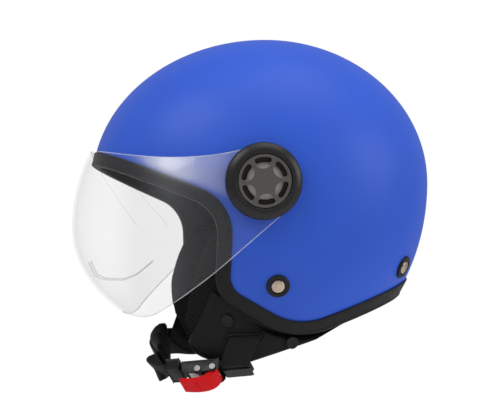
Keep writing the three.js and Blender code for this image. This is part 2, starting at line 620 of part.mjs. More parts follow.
for (const [side, turn] of Object.entries(sides)) {
  const shellCut = eggSolid(grown(EGG, CLEAR));
  const plateDisc = disc(PIVOT.plate, nutTop, PIVOT.plateFace, PIVOT_FACETS);
  const plate = plateDisc.add(disc(PIVOT.hub, nutTop, PIVOT.hubFace, PIVOT_FACETS));
  const bored = plate.subtract(disc(SCREW.radius + CLEAR, 0, WIDE));
  place(`pivot_plate_${side}`, turn(seated(bored, PIVOT_SEAT)).subtract(shellCut), PLASTIC);

  const washer = ring(SCREW.radius + CLEAR, WASHER.outer, washerBack, washerFace, PIVOT_FACETS);
  place(`friction_washer_${side}`, turn(seated(washer, PIVOT_SEAT)), STEEL);

  const cover = turned(
    [
      [RING.inner, EAR.face + CLEAR],
      [RING.outer, EAR.face + CLEAR],
      [RING.outer, RING.face - RING.round],
      [RING.outer - RING.round / 2, RING.face - RING.round / 4],
      [RING.inner + RING.lip, RING.face],
      [RING.inner, RING.face - RING.edge],
      [RING.inner, EAR.face + CLEAR],
    ],
    PIVOT_FACETS,
  );
  place(`cover_ring_${side}`, turn(seated(cover, PIVOT_SEAT)), PLASTIC);

  let knob = turned(
    [
      [0, KNOB.face - KNOB.wall],
      [knobRadius - KNOB.wall, KNOB.face - KNOB.wall],
      [knobRadius - KNOB.wall, headSeat],
      [knobRadius, headSeat],
      [knobRadius, KNOB.face - KNOB.edge],
      [knobRadius - KNOB.edge, KNOB.face],
      [0, KNOB.face],
    ],
    PIVOT_FACETS,
  );
  for (const slot of knobSlots()) knob = knob.subtract(slot);
  place(`pivot_knob_${side}`, turn(seated(knob, PIVOT_SEAT)), GUNMETAL);

  const screwHead = disc(SCREW.head, headSeat, headSeat + SCREW.headWall);
  const screw = disc(SCREW.radius, shankEnd, headSeat + 1).add(screwHead);
  place(`pivot_screw_${side}`, turn(seated(screw, PIVOT_SEAT)), STEEL);

  const flange = ring(SCREW.radius + CLEAR, NUT.flange, flangeFace - NUT.flangeWall, flangeFace);
  const barrel = ring(SCREW.radius + CLEAR, NUT.barrel, flangeFace - NUT.flangeWall, pivotSkin - 2 * FACET);
  place(`pivot_nut_${side}`, turn(seated(flange.add(barrel), PIVOT_SEAT)), STEEL);
}

// ---------------------------------------------------------------- chin strap and buckle

for (const [side, turn] of Object.entries(sides)) {
  const hole = turn(seated(disc(RIVET.shank + CLEAR, -THROUGH, THROUGH), rivetSeats[0][1]));
  place(`chin_strap_${side}`, band(routes[side], STRAP.width, STRAP.wall).subtract(hole), FABRIC);
}
place("chin_pad", chinPadBand(0), FABRIC);

// A profile in the buckle's own side view ([along, out] points), extruded across it.
function buckleBar(points, from, to) {
  const shape = new THREE.Shape(points.map(([x, z]) => new THREE.Vector2(x, z)));
  const bar = new THREE.ExtrudeGeometry(shape, { depth: to - from, bevelEnabled: false });
  return solid(bar.translate(0, 0, from).rotateX(Math.PI / 2));
}
const block = (x0, x1, y0, y1, z0, z1) =>
  buckleBar(
    [
      [x0, z0],
      [x1, z0],
      [x1, z1],
      [x0, z1],
    ],
    -y1,
    -y0,
  );
const acrossPin = ([x, z]) => new THREE.Matrix4().makeRotationX(Math.PI / 2).setPosition(x, 0, z);
const pinDisc = (radius, half, at) => seated(disc(radius, -half, half), acrossPin(at));
const buckled = (name, body, look) => place(name, seated(body, buckleAxes), look);

const halfLength = BUCKLE.length / 2;
const halfBuckle = BUCKLE.width / 2;
const inside = halfBuckle - BUCKLE.wall;
let frame = block(-halfLength, clampEnd, -halfBuckle, halfBuckle, -BUCKLE.plate, BUCKLE.height);
frame = frame.subtract(block(-WIDE, WIDE, -inside, inside, 0, WIDE));
frame = frame.subtract(block(halfLength, WIDE, -WIDE, WIDE, 0, WIDE));
frame = frame.subtract(block(halfLength, WIDE, CLAMP.top, WIDE, -WIDE, WIDE));
const hinges = [PAWL.hinge, LEVER.hinge];
for (const at of hinges) frame = frame.subtract(pinDisc(PIN.radius + CLEAR, WIDE, at));
buckled("buckle_body", frame, PLASTIC);

["pawl_pin", "lever_pin"].forEach((name, i) => {
  const tip = halfBuckle + CLEAR;
  const pin = pinDisc(PIN.radius, tip + PIN.headWall, hinges[i]);
  const between = pinDisc(PIN.head + 1, tip, hinges[i]);
  const heads = pinDisc(PIN.head, tip + PIN.headWall, hinges[i]).subtract(between);
  buckled(name, pin.add(heads), STEEL);
});

const [leverX, leverZ] = LEVER.hinge;
const leverArm = new THREE.Shape();
leverArm.moveTo(leverX + LEVER.hub, leverZ);
leverArm.quadraticCurveTo(leverX, leverZ + LEVER.crest, leverX - LEVER.arm, leverZ + LEVER.arch);
leverArm.lineTo(leverX - LEVER.arm, leverZ + LEVER.arch - LEVER.wall);
leverArm.quadraticCurveTo(leverX - LEVER.heel, leverZ + LEVER.arch, leverX - LEVER.hub, leverZ);
leverArm.closePath();
const halfLever = inside - CLEAR;
const armCut = { depth: 2 * halfLever, bevelEnabled: false, curveSegments: 8 };
const armBar = new THREE.ExtrudeGeometry(leverArm, armCut);
const arm = solid(armBar.translate(0, 0, -halfLever).rotateX(Math.PI / 2));
let lever = arm.add(pinDisc(LEVER.hub, halfLever, LEVER.hinge));
lever = lever.subtract(pinDisc(PIN.radius + CLEAR, WIDE, LEVER.hinge));
lever = lever.subtract(pinDisc(LEVER.hub + 0.8, LEVER.gap / 2, LEVER.hinge));
buckled("buckle_lever", lever, RED);
const coilEnd = LEVER.gap / 2 - CLEAR;
const coil = ring(PIN.radius + CLEAR, LEVER.hub, -coilEnd, coilEnd);
buckled("lever_spring", seated(coil, acrossPin(LEVER.hinge)), STEEL);

const [pawlX, pawlZ] = PAWL.hinge;
const toothTop = CLEAR + LADDER.wall + LADDER.tooth + CLEAR;
const pawlNose = buckleBar(
  [
    [pawlX - PAWL.hub, pawlZ],
    [pawlX, pawlZ + PAWL.hub],
    [pawlX - PAWL.nose, toothTop + PAWL.tip],
    [pawlX - PAWL.nose, toothTop],
  ],
  -PAWL.width / 2,
  PAWL.width / 2,
);
const pawlHub = pinDisc(PAWL.hub, PAWL.width / 2, PAWL.hinge);
const pawl = pawlHub.add(pawlNose).subtract(block(-WIDE, WIDE, -WIDE, WIDE, -WIDE, toothTop));
buckled("buckle_pawl", pawl.subtract(pinDisc(PIN.radius + CLEAR, WIDE, PAWL.hinge)), STEEL);

const teeth = [[ladderEnd, CLEAR], [mouth + LADDER.inserted, CLEAR]];
const toothCount = Math.floor(LADDER.inserted / LADDER.pitch);
for (let i = 0; i < toothCount; i++) {
  const heel = mouth + LADDER.inserted - i * LADDER.pitch;
  teeth.push([heel, CLEAR + LADDER.wall], [heel - LADDER.pitch, CLEAR + LADDER.wall + LADDER.tooth]);
}
const lastHeel = mouth + LADDER.inserted - toothCount * LADDER.pitch;
teeth.push([lastHeel, CLEAR + LADDER.wall], [ladderEnd, CLEAR + LADDER.wall]);
buckled("ladder_strip", buckleBar(teeth, -LADDER.width / 2, LADDER.width / 2), PLASTIC);

// The keeper is a flat loop round the end of the strap and the ladder.
const keeperHalf = STRAP.width / 2 + CLEAR;
const keeperLow = strapOnLadder - STRAP.wall / 2 - CLEAR;
const keeperHigh = CLEAR + LADDER.wall + CLEAR;
const keeperBlock = (grow) =>
  block(
    ladderEnd + 1 - grow,
    ladderEnd + 1 + KEEPER.length + grow,
    -keeperHalf - grow,
    keeperHalf + grow,
    keeperLow - grow,
    keeperHigh + grow,
  );
const keeperHole = block(-WIDE, WIDE, -keeperHalf, keeperHalf, keeperLow, keeperHigh);
buckled("strap_keeper", keeperBlock(KEEPER.wall).subtract(keeperHole), PLASTIC);

const clampLow = clampMiddle + STRAP.wall / 2 + 2 * CLEAR;
const clamp = block(clampFrom, clampEnd, -halfBuckle, CLAMP.top, clampLow, clampLow + CLAMP.wall);
buckled("strap_clamp", clamp, PLASTIC);

export default helmet;
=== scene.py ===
"""Open face motorcycle helmet: its smooth visible pieces, their materials, the studio and the camera.

Sizes are in millimetres until a mesh is made. The face looks along -Y and the wearer's left is +X.
"""

import math

import bmesh
import bpy
import numpy as np
from mathutils import Matrix, Vector


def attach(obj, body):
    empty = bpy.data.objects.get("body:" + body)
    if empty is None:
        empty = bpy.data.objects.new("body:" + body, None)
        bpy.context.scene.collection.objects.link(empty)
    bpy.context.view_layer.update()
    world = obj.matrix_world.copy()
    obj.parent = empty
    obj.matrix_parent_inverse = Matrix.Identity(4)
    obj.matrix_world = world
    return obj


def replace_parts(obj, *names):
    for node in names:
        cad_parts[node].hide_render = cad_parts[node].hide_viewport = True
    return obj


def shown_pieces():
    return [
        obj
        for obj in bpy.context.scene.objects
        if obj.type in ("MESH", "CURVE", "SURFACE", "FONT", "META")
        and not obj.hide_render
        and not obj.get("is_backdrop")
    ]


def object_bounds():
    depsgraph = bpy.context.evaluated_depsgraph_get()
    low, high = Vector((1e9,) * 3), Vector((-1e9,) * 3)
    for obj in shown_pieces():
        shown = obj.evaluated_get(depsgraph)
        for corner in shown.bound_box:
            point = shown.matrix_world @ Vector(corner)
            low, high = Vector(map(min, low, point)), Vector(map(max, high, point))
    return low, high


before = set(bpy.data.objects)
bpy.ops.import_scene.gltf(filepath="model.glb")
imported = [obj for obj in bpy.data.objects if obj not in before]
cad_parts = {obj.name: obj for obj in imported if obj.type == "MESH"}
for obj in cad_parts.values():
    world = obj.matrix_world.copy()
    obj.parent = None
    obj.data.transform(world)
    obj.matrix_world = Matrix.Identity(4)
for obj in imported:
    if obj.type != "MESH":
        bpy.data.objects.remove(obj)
cad_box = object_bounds()
scene = bpy.context.scene
MM = 0.001
SIDES = {"left": 1, "right": -1}

# ---------------------------------------------------------------- camera, light and floor

VIEW_AZIMUTH = 81.5
VIEW_DISTANCE = 2400
VIEW_TARGET = (7.5, -21.5)  # across the view and up
LENS = 213.4
FLOOR_DROP = 150
FLOOR_RADIUS = 1150
ROOM_LIGHT = 0.39
LAMPS = {
    "key": ((900, -1500, 1800), 1400, 25),
    "top": ((400, 500, 1900), 1600, 14),
    "rear": ((900, 1800, 500), 1200, 13),
}  # place, width and power


def studio():
    """A camera on the helmet's left, a white room, three soft lamps and a pale floor that fades out."""
    turn = math.radians(VIEW_AZIMUTH)
    back = Vector((math.sin(turn), -math.cos(turn), 0))
    right = Vector((math.cos(turn), math.sin(turn), 0))
    target = right * VIEW_TARGET[0] + Vector((0, 0, VIEW_TARGET[1]))
    camera = bpy.data.objects.new("camera", bpy.data.cameras.new("camera"))
    camera.data.lens = LENS
    camera.data.sensor_width = 36
    camera.location = (target + back * VIEW_DISTANCE) * MM
    camera.rotation_euler = (-back).to_track_quat("-Z", "Y").to_euler()
    scene.collection.objects.link(camera)
    scene.camera = camera

    world = bpy.data.worlds.new("white room")
    scene.world = world
    world.use_nodes = True
    tree = world.node_tree
    background = tree.nodes["Background"]
    background.inputs["Color"].default_value = (1, 1, 1, 1)
    seen = tree.nodes.new("ShaderNodeLightPath")
    brightness = tree.nodes.new("ShaderNodeMapRange")
    brightness.inputs["To Min"].default_value = ROOM_LIGHT
    brightness.inputs["To Max"].default_value = 1.0
    tree.links.new(seen.outputs["Is Camera Ray"], brightness.inputs["Value"])
    tree.links.new(brightness.outputs["Result"], background.inputs["Strength"])

    for name, (place, size, power) in LAMPS.items():
        lamp = bpy.data.lights.new(name, "AREA")
        lamp.shape = "DISK"
        lamp.size = size * MM
        lamp.energy = power
        holder = bpy.data.objects.new(name, lamp)
        holder.location = Vector(place) * MM
        holder.rotation_euler = (-Vector(place)).to_track_quat("-Z", "Y").to_euler()
        scene.collection.objects.link(holder)

    mesh = bpy.data.meshes.new("floor")
    work = bmesh.new()
    bmesh.ops.create_circle(work, cap_ends=True, segments=96, radius=FLOOR_RADIUS * MM)
    bmesh.ops.translate(work, verts=work.verts, vec=(0, 0, cad_box[0].z - FLOOR_DROP * MM))
    work.to_mesh(mesh)
    work.free()
    floor = bpy.data.objects.new("floor", mesh)
    scene.collection.objects.link(floor)
    floor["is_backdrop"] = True
    pale = Nodes("pale floor", (0.9, 0.9, 0.9), 0.9)
    reach = pale.tree.nodes.new("ShaderNodeVectorMath")
    reach.operation = "LENGTH"
    flat = pale.tree.nodes.new("ShaderNodeMapping")
    flat.inputs["Scale"].default_value = (1, 1, 0)
    pale.link(pale.place, flat.inputs["Vector"])
    pale.link(flat.outputs["Vector"], reach.inputs[0])
    fade = pale.tree.nodes.new("ShaderNodeMapRange")
    fade.inputs["From Min"].default_value = FLOOR_RADIUS * MM
    fade.inputs["From Max"].default_value = FLOOR_RADIUS * MM * 0.35
    pale.link(reach.outputs["Value"], fade.inputs["Value"])
    pale.link(fade.outputs["Result"], pale.shader.inputs["Alpha"])
    mesh.materials.append(pale.material)
    scene.view_settings.view_transform = "Standard"


# ---------------------------------------------------------------- materials


class Nodes:
    """A principled material and short ways to add to it."""

    def __init__(self, name, colour, roughness, metallic=0.0, specular=0.5):
        self.material = bpy.data.materials.new(name)
        self.material.use_nodes = True
        self.tree = self.material.node_tree
        self.shader = self.tree.nodes["Principled BSDF"]
        self.set("Base Color", (*colour, 1))
        self.set("Roughness", roughness)
        self.set("Metallic", metallic)
        self.set("Specular IOR Level", specular)
        self.place = self.tree.nodes.new("ShaderNodeTexCoord").outputs["Object"]

    def set(self, socket, value):
        self.shader.inputs[socket].default_value = value

    def link(self, start, end):
        self.tree.links.new(start, end)

    def noise(self, size, detail=3.0, stretch=None):
        """Noise whose blobs are about `size` mm across."""
        node = self.tree.nodes.new("ShaderNodeTexNoise")
        node.inputs["Scale"].default_value = 1 / (size * MM)
        node.inputs["Detail"].default_value = detail
        self.link(self.stretched(stretch), node.inputs["Vector"])
        return node.outputs["Fac"]

    def stretched(self, stretch):
        if stretch is None:
            return self.place
        node = self.tree.nodes.new("ShaderNodeMapping")
        node.inputs["Scale"].default_value = stretch
        self.link(self.place, node.inputs["Vector"])
        return node.outputs["Vector"]

    def cells(self, size, randomness=1.0, feature="F1", stretch=None):
        """Distance to the nearest cell, with cells about `size` mm across."""
        node = self.tree.nodes.new("ShaderNodeTexVoronoi")
        node.feature = feature
        node.inputs["Scale"].default_value = 1 / (size * MM)
        node.inputs["Randomness"].default_value = randomness
        self.link(self.stretched(stretch), node.inputs["Vector"])
        return node.outputs["Distance"]

    def math(self, operation, a, b=None):
        node = self.tree.nodes.new("ShaderNodeMath")
        node.operation = operation
        for socket, value in zip(node.inputs, (a, b)):
            if value is None:
                continue
            if isinstance(value, (int, float)):
                socket.default_value = value
            else:
                self.link(value, socket)
        return node.outputs[0]

    def ramp(self, value, stops):
        """Colours along a value: stops are (position, grey or colour)."""
        node = self.tree.nodes.new("ShaderNodeValToRGB")
        marks = node.color_ramp.elements
        while len(marks) < len(stops):
            marks.new(0.5)
        for mark, (position, colour) in zip(marks, stops):
            mark.position = position
            mark.color = (colour, colour, colour, 1) if isinstance(colour, (int, float)) else (*colour, 1)
        self.link(value, node.inputs["Fac"])
        return node.outputs["Color"]

    def drive(self, socket, value, stops):
        """Sets a shader input from a value by way of a ramp."""
        self.link(self.ramp(value, stops), self.shader.inputs[socket])

    def bump(self, height, depth, strength=1.0):
        """Relief of `depth` mm; each call adds to the one before."""
        node = self.tree.nodes.new("ShaderNodeBump")
        node.inputs["Strength"].default_value = strength
        node.inputs["Distance"].default_value = depth * MM
        self.link(height, node.inputs["Height"])
        before = self.shader.inputs["Normal"]
        if before.is_linked:
            self.link(before.links[0].from_socket, node.inputs["Normal"])
        self.link(node.outputs["Normal"], before)

    def attribute(self, name):
        node = self.tree.nodes.new("ShaderNodeAttribute")
        node.attribute_name = name
        return node.outputs["Fac"]


studio()


def matte_paint():
    m = Nodes("matte blue paint", (0.028, 0.095, 0.62), 0.46, specular=0.3)
    drift = m.ramp(m.noise(90, 2), [(0.3, (0.024, 0.097, 0.62)), (0.7, (0.028, 0.109, 0.665))])
    m.link(drift, m.shader.inputs["Base Color"])
    m.drive("Roughness", m.noise(0.9, 4), [(0.3, 0.42), (0.7, 0.54)])
    m.bump(m.noise(0.6, 4), 0.006)
    return m.material


def rubber():
    m = Nodes("edge rubber", (0.009, 0.0085, 0.0095), 0.5, specular=0.22)
    m.drive("Roughness", m.noise(5, 4), [(0.3, 0.42), (0.75, 0.62)])
    m.bump(m.noise(0.8, 4), 0.006)
    return m.material


def leatherette():
    m = Nodes("leatherette", (0.008, 0.0075, 0.0085), 0.5, specular=0.2)
    grain = m.cells(1.3, feature="DISTANCE_TO_EDGE")
    m.drive("Roughness", grain, [(0.0, 0.66), (0.25, 0.44)])
    m.drive("Base Color", m.noise(40, 3), [(0.3, (0.0065, 0.006, 0.007)), (0.8, (0.0105, 0.010, 0.0115))])
    m.bump(m.ramp(grain, [(0.0, 0.0), (0.18, 1.0)]), 0.05)
    m.bump(m.noise(18, 3), 0.6)
    return m.material


def mesh_fabric():
    """Knitted mesh: rows of round holes on a slant, with painted shade in the holes."""
    m = Nodes("perforated mesh fabric", (0.010, 0.0095, 0.010), 0.85, specular=0.1)
    turn = m.tree.nodes.new("ShaderNodeMapping")
    turn.inputs["Rotation"].default_value = (0.6, 0, 0)
    turn.inputs["Scale"].default_value = (0.01, 0.7, 1.0)
    m.link(m.place, turn.inputs["Vector"])
    holes = m.tree.nodes.new("ShaderNodeTexVoronoi")
    holes.inputs["Scale"].default_value = 1 / (2.3 * MM)
    holes.inputs["Randomness"].default_value = 0.08
    m.link(turn.outputs["Vector"], holes.inputs["Vector"])
    distance = holes.outputs["Distance"]
    # painted shade: the hole centres are painted near black
    m.drive("Base Color", distance, [(0.24, (0.0008, 0.0008, 0.001)), (0.40, (0.0135, 0.0125, 0.0135))])
    m.bump(m.ramp(distance, [(0.2, 0.0), (0.45, 1.0)]), 0.35)
    m.bump(m.noise(0.7, 3), 0.02)
    return m.material


def brushed_fabric():
    m = Nodes("brushed lining fabric", (0.008, 0.008, 0.0085), 0.95, specular=0.08)
    m.set("Sheen Weight", 0.15)
    m.drive("Base Color", m.noise(3, 5), [(0.3, (0.006, 0.006, 0.0065)), (0.8, (0.015, 0.0145, 0.0155))])
    m.bump(m.noise(0.6, 5), 0.06)
    m.bump(m.noise(25, 3), 0.8)
    return m.material


def foam():
    m = Nodes("bead foam", (0.013, 0.013, 0.0135), 0.85, specular=0.12)
    beads = m.cells(3.2)
    m.drive("Base Color", beads, [(0.1, (0.018, 0.018, 0.0185)), (0.6, (0.008, 0.008, 0.0085))])
    m.bump(m.ramp(beads, [(0.1, 1.0), (0.6, 0.0)]), 0.25)
    return m.material


def webbing():
    """Woven band: fine ribs across and a coarser herringbone along, from the band's own measures."""
    m = Nodes("strap webbing", (0.009, 0.009, 0.0095), 0.7, specular=0.15)
    m.set("Sheen Weight", 0.1)
    along, over = m.attribute("along"), m.attribute("over")
    slant = m.math("ADD", along, m.math("MULTIPLY", m.math("ABSOLUTE", over), 1.2))
    rib = m.math("SINE", m.math("MULTIPLY", slant, 2 * math.pi / 1.4))
    warp = m.math("SINE", m.math("MULTIPLY", over, 2 * math.pi / 1.1))
    threads = m.math("ADD", m.math("MULTIPLY", rib, 0.3), m.math("ADD", m.math("MULTIPLY", warp, 0.2), 0.5))
    m.drive("Base Color", threads, [(0.1, (0.005, 0.005, 0.0055)), (0.9, (0.0145, 0.014, 0.015))])
    m.bump(threads, 0.18)
    return m.material


def plastic(name, colour, roughness, specular=0.25):
    m = Nodes(name, colour, roughness, specular=specular)
    m.drive("Roughness", m.noise(7, 4), [(0.3, roughness - 0.06), (0.75, roughness + 0.09)])
    m.bump(m.noise(0.5, 4), 0.006)
    return m


def gunmetal():
    m = plastic("gunmetal knob", (0.115, 0.104, 0.096), 0.40, 0.45)
    m.set("Metallic", 0.2)
    # painted shade: the slots are painted near black; the pockets are painted lighter
    tone = m.math("ADD", m.math("MULTIPLY", m.attribute("pocket"), 0.5), 0.5)
    tone = m.math("SUBTRACT", tone, m.math("MULTIPLY", m.attribute("slot"), 0.5))
    tones = [(0.0, (0.008, 0.0075, 0.007)), (0.5, (0.100, 0.090, 0.083)), (1.0, (0.26, 0.24, 0.225))]
    m.drive("Base Color", tone, tones)
    return m.material


def steel(name, colour, roughness):
    m = Nodes(name, colour, roughness, metallic=1.0)
    m.drive("Roughness", m.noise(1.5, 4, (1, 1, 8)), [(0.3, roughness - 0.08), (0.75, roughness + 0.12)])
    m.drive("Base Color", m.noise(4, 4), [(0.25, tuple(c * 0.72 for c in colour)), (0.75, colour)])
    m.bump(m.noise(0.4, 4), 0.006)
    return m.material


def clear_visor():
    """Thin clear plastic: nearly invisible face on, denser where it turns away, pale where a lamp's
    reflection is painted on, and dark along a painted shade line at the crease.
    """
    m = Nodes("clear visor", (0.4, 0.4, 0.42), 0.08, specular=0.5)
    rim = m.tree.nodes.new("ShaderNodeLayerWeight")
    rim.inputs["Blend"].default_value = 0.35
    edge = m.math("MULTIPLY", m.math("POWER", rim.outputs["Facing"], 3.0), 0.14)
    # painted reflection: paler and more opaque where a soft lamp's reflection would show below the brow edge
    veil = m.math("MULTIPLY", m.attribute("veil"), 0.46)
    # painted shade: a dark, denser line along the moulded crease
    crease = m.math("MULTIPLY", m.attribute("crease"), 0.38)
    haze = m.math("ADD", m.math("MULTIPLY", m.noise(60, 2), 0.02), 0.02)
    total = m.math("ADD", m.math("ADD", edge, haze), m.math("ADD", veil, crease))
    m.link(m.math("MINIMUM", total, 1.0), m.shader.inputs["Alpha"])
    # the painted reflection pushes the colour towards white, and the painted crease shade pushes it towards
    # near black
    tone = m.math("ADD", m.math("MULTIPLY", m.attribute("veil"), 0.5), 0.5)
    tone = m.math("SUBTRACT", tone, m.math("MULTIPLY", m.attribute("crease"), 0.5))
    tones = [(0.0, (0.03, 0.03, 0.032)), (0.5, (0.36, 0.37, 0.39)), (0.75, (0.95, 0.965, 1.0))]
    m.drive("Base Color", tone, tones)
    return m.material


def clear_edge():
    m = Nodes("polished visor edge", (0.80, 0.83, 0.88), 0.15, specular=0.6)
    m.drive("Alpha", m.noise(40, 3), [(0.3, 0.15), (0.7, 0.5)])
    return m.material


PAINT = matte_paint()
RUBBER = rubber()
LEATHERETTE = leatherette()
MESH_FABRIC = mesh_fabric()
LINING = brushed_fabric()
FOAM = foam()
WEBBING = webbing()
THREAD = plastic("sewing thread", (0.022, 0.021, 0.022), 0.6).material
BLACK_PLASTIC = plastic("black satin plastic", (0.011, 0.011, 0.0115), 0.42).material
COVER_PLASTIC = plastic("black cover plastic", (0.013, 0.0125, 0.0125), 0.36, 0.35).material
RED_PLASTIC = plastic("red lever plastic", (0.68, 0.002, 0.006), 0.5, 0.08).material
GUNMETAL = gunmetal()
STEEL = steel("zinc steel", (0.55, 0.54, 0.52), 0.32)
PIN_STEEL = steel("dark pin steel", (0.24, 0.235, 0.23), 0.42)
RIVET_STEEL = steel("warm rivet steel", (0.62, 0.50, 0.38), 0.24)
CLEAR = clear_visor()
CLEAR_EDGE = clear_edge()

# ---------------------------------------------------------------- shapes shared with the solids

EGG = dict(y=19.5, z=-0.5, side=118, front=139.3, rear=131.3, crown=115.8, base=154, power=2.2)
CAVITY = dict(EGG, side=84, front=108, rear=100, crown=79, base=175)
PAD_EGG = dict(EGG, side=86.494, front=135, rear=118, crown=100, base=230)
VISOR_EGG = dict(EGG, z=-37, side=134, front=155.5, rear=150, crown=144.5, base=100)
SHELL_WALL = 4
TRIM_WIDTH = 10.6
GAP = 0.3
PAINT_EDGE = [(-160, 41.9, 0), (-22.7, -15.4, 40), (-23, -83.5, 18), (32.3, -114.7, 52), (160, -67.5, 0)]
LINER_SHOWS = 5
FLAP_WALL = 2.2


def grown(egg, by):
    return dict(egg, **{k: egg[k] + by for k in ("side", "front", "rear", "crown", "base")})


def share(egg, y, z):
    """Share of the way from the egg's middle to its outline in side view."""
    along = (y - egg["y"]) / np.where(y < egg["y"], egg["front"], egg["rear"])
    up = (z - egg["z"]) / np.where(z < egg["z"], egg["base"], egg["crown"])
    return np.hypot(along, up)


def half_width(egg, y, z):
    rest = np.clip(1 - share(egg, y, z) ** egg["power"], 0, None)
    return egg["side"] * rest ** (1 / egg["power"])


def edge_line(out, lift=0.0, ends=44, arcs=18, runs=26):
    """The paint edge moved out by a distance, from the brow's middle round to the nape's, in side view.

    Its ends meet the outline of the egg that is lifted by `lift`. Points crowd towards the ends,
    where the surface turns fastest.
    """
    egg = grown(EGG, lift)
    corner = [np.array(c[:2], float) for c in PAINT_EDGE]
    run = [(b - a) / np.linalg.norm(b - a) for a, b in zip(corner, corner[1:])]
    outward = [np.array([d[1], -d[0]]) for d in run]
    pieces = []
    for i in range(1, len(corner) - 1):
        before, after = run[i - 1], run[i]
        bend = np.sign(before[0] * after[1] - before[1] * after[0])
        radius = PAINT_EDGE[i][2]
        half = math.acos(float(np.clip(before @ after, -1, 1))) / 2
        centre = corner[i] - before * radius * math.tan(half) - outward[i - 1] * bend * radius
        first = math.atan2(bend * outward[i - 1][1], bend * outward[i - 1][0])
        angle = first + bend * 2 * half * np.linspace(0, 1, arcs)
        reach = radius + bend * out
        pieces.append(np.stack([centre[0] + reach * np.cos(angle), centre[1] + reach * np.sin(angle)], 1))

    def from_outline(far, near):
        """Points from the egg's outline to `near`, on the line that comes from `far`."""
        low, high = 0.0, 1.0
        for _ in range(50):
            middle = (low + high) / 2
            point = far + (near - far) * middle
            if share(egg, point[0], point[1]) > 1:
                low = middle
            else:
                high = middle
        steps = high + (1 - high) * np.linspace(0, 1, ends)[:, None] ** 2
        return far + (near - far) * steps

    line = [from_outline(corner[0] + outward[0] * out, pieces[0][0])]
    for i, piece in enumerate(pieces):
        line.append(piece[1:])
        if i + 1 < len(pieces):
            steps = np.linspace(0, 1, runs)[1:-1, None]
            line.append(piece[-1] + (pieces[i + 1][0] - piece[-1]) * steps)
            line.append(pieces[i + 1][:1])
    line.append(from_outline(corner[-1] + outward[-1] * out, pieces[-1][-1])[::-1][1:])
    return np.concatenate(line)


# ---------------------------------------------------------------- meshes


def grid_faces(rows, columns, loop_rows=False, loop_columns=False):
    faces = []
    for i in range(rows if loop_rows else rows - 1):
        for k in range(columns if loop_columns else columns - 1):
            a, b = i * columns + k, i * columns + (k + 1) % columns
            c, d = ((i + 1) % rows) * columns + (k + 1) % columns, ((i + 1) % rows) * columns + k
            faces.append((a, b, c, d))
    return faces


class Build:
    """Collects grids of points into one mesh."""

    def __init__(self):
        self.points = []
        self.faces = []

    def add(self, points, faces):
        start = sum(len(p) for p in self.points)
        self.points.append(np.asarray(points, float).reshape(-1, 3))
        self.faces += [tuple(start + i for i in f) for f in faces]
        return self

    def grid(self, points, loop_rows=False, loop_columns=False, caps=False):
        rows, columns = points.shape[:2]
        faces = grid_faces(rows, columns, loop_rows, loop_columns)
        if caps:
            faces.append(tuple(range(columns)))
            faces.append(tuple(range((rows - 1) * columns, rows * columns)))
        return self.add(points, faces)

    def mirrored(self):
        """Adds the same points on the other side."""
        both = Build()
        points = np.concatenate(self.points)
        both.add(points, self.faces)
        both.add(points * (-1, 1, 1), self.faces)
        return both

    def piece(self, name, body, slot, materials, weld=0.01, sharp=None, values=None):
        """Makes the object, in metres, and puts it on a body."""
        mesh = bpy.data.meshes.new(name)
        mesh.from_pydata((np.concatenate(self.points) * MM).tolist(), [], self.faces)
        work = bmesh.new()
        work.from_mesh(mesh)
        if weld:
            bmesh.ops.remove_doubles(work, verts=work.verts, dist=weld * MM)
            bmesh.ops.dissolve_degenerate(work, edges=work.edges, dist=1e-7)
        bmesh.ops.recalc_face_normals(work, faces=work.faces)
        work.to_mesh(mesh)
        work.free()
        mesh.shade_smooth()
        if sharp:
            mesh.set_sharp_from_angle(angle=math.radians(sharp))
        if values:
            for label, function in values.items():
                layer = mesh.attributes.new(label, "FLOAT", "POINT")
                place = np.array([v.co for v in mesh.vertices]) / MM
                value = function(place) if callable(function) else function
                layer.data.foreach_set("value", np.ravel(value).astype(np.float32))
        for material in materials if isinstance(materials, (list, tuple)) else [materials]:
            mesh.materials.append(material)
        made = bpy.data.objects.new(name, mesh)
        scene.collection.objects.link(made)
        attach(made, body)
        return made


def closed_between(face, back):
    """Two grids and the four strips that join their edges."""
    made = Build().grid(face).grid(back)
    for rim in ((slice(None), 0), (slice(None), -1), (0, slice(None)), (-1, slice(None))):
        made.grid(np.stack([face[rim], back[rim]], 1))
    return made


def tube(points, radius, sides=10, closed=False):
    """A grid of rings along a line of points."""
    points = np.asarray(points, float)
    run = np.roll(points, -1, 0) - np.roll(points, 1, 0) if closed else np.gradient(points, axis=0)
    run /= np.linalg.norm(run, axis=1)[:, None]
    up = np.tile((0.31, 0.17, 0.93), (len(points), 1))
    side = np.cross(run, up)
    side /= np.linalg.norm(side, axis=1)[:, None]
    up = np.cross(side, run)
    angle = np.linspace(0, 2 * math.pi, sides, endpoint=False)[None, :, None]
    return points[:, None] + radius * (np.cos(angle) * side[:, None] + np.sin(angle) * up[:, None])


def add_bevel(made, width, segments=3, angle=35):
    bevel = made.modifiers.new("edges", "BEVEL")
    bevel.width = width * MM
    bevel.segments = segments
    bevel.limit_method = "ANGLE"
    bevel.angle_limit = math.radians(angle)
    bevel.harden_normals = True
    return made


def fan(boundary, centre, steps, power=1.0):
    """Side view points from a middle to a closed boundary. With power 0 they crowd at the boundary."""
    s = np.linspace(0, 1, steps)
    t = np.sin(s * math.pi / 2) * (1 - power) + s * power
    return centre + (boundary[:, None, :] - centre) * t[None, :, None]


def with_width(side_view, width):
    """Side view points with their distance from the middle plane."""
    return np.stack([width, side_view[..., 0], side_view[..., 1]], -1)


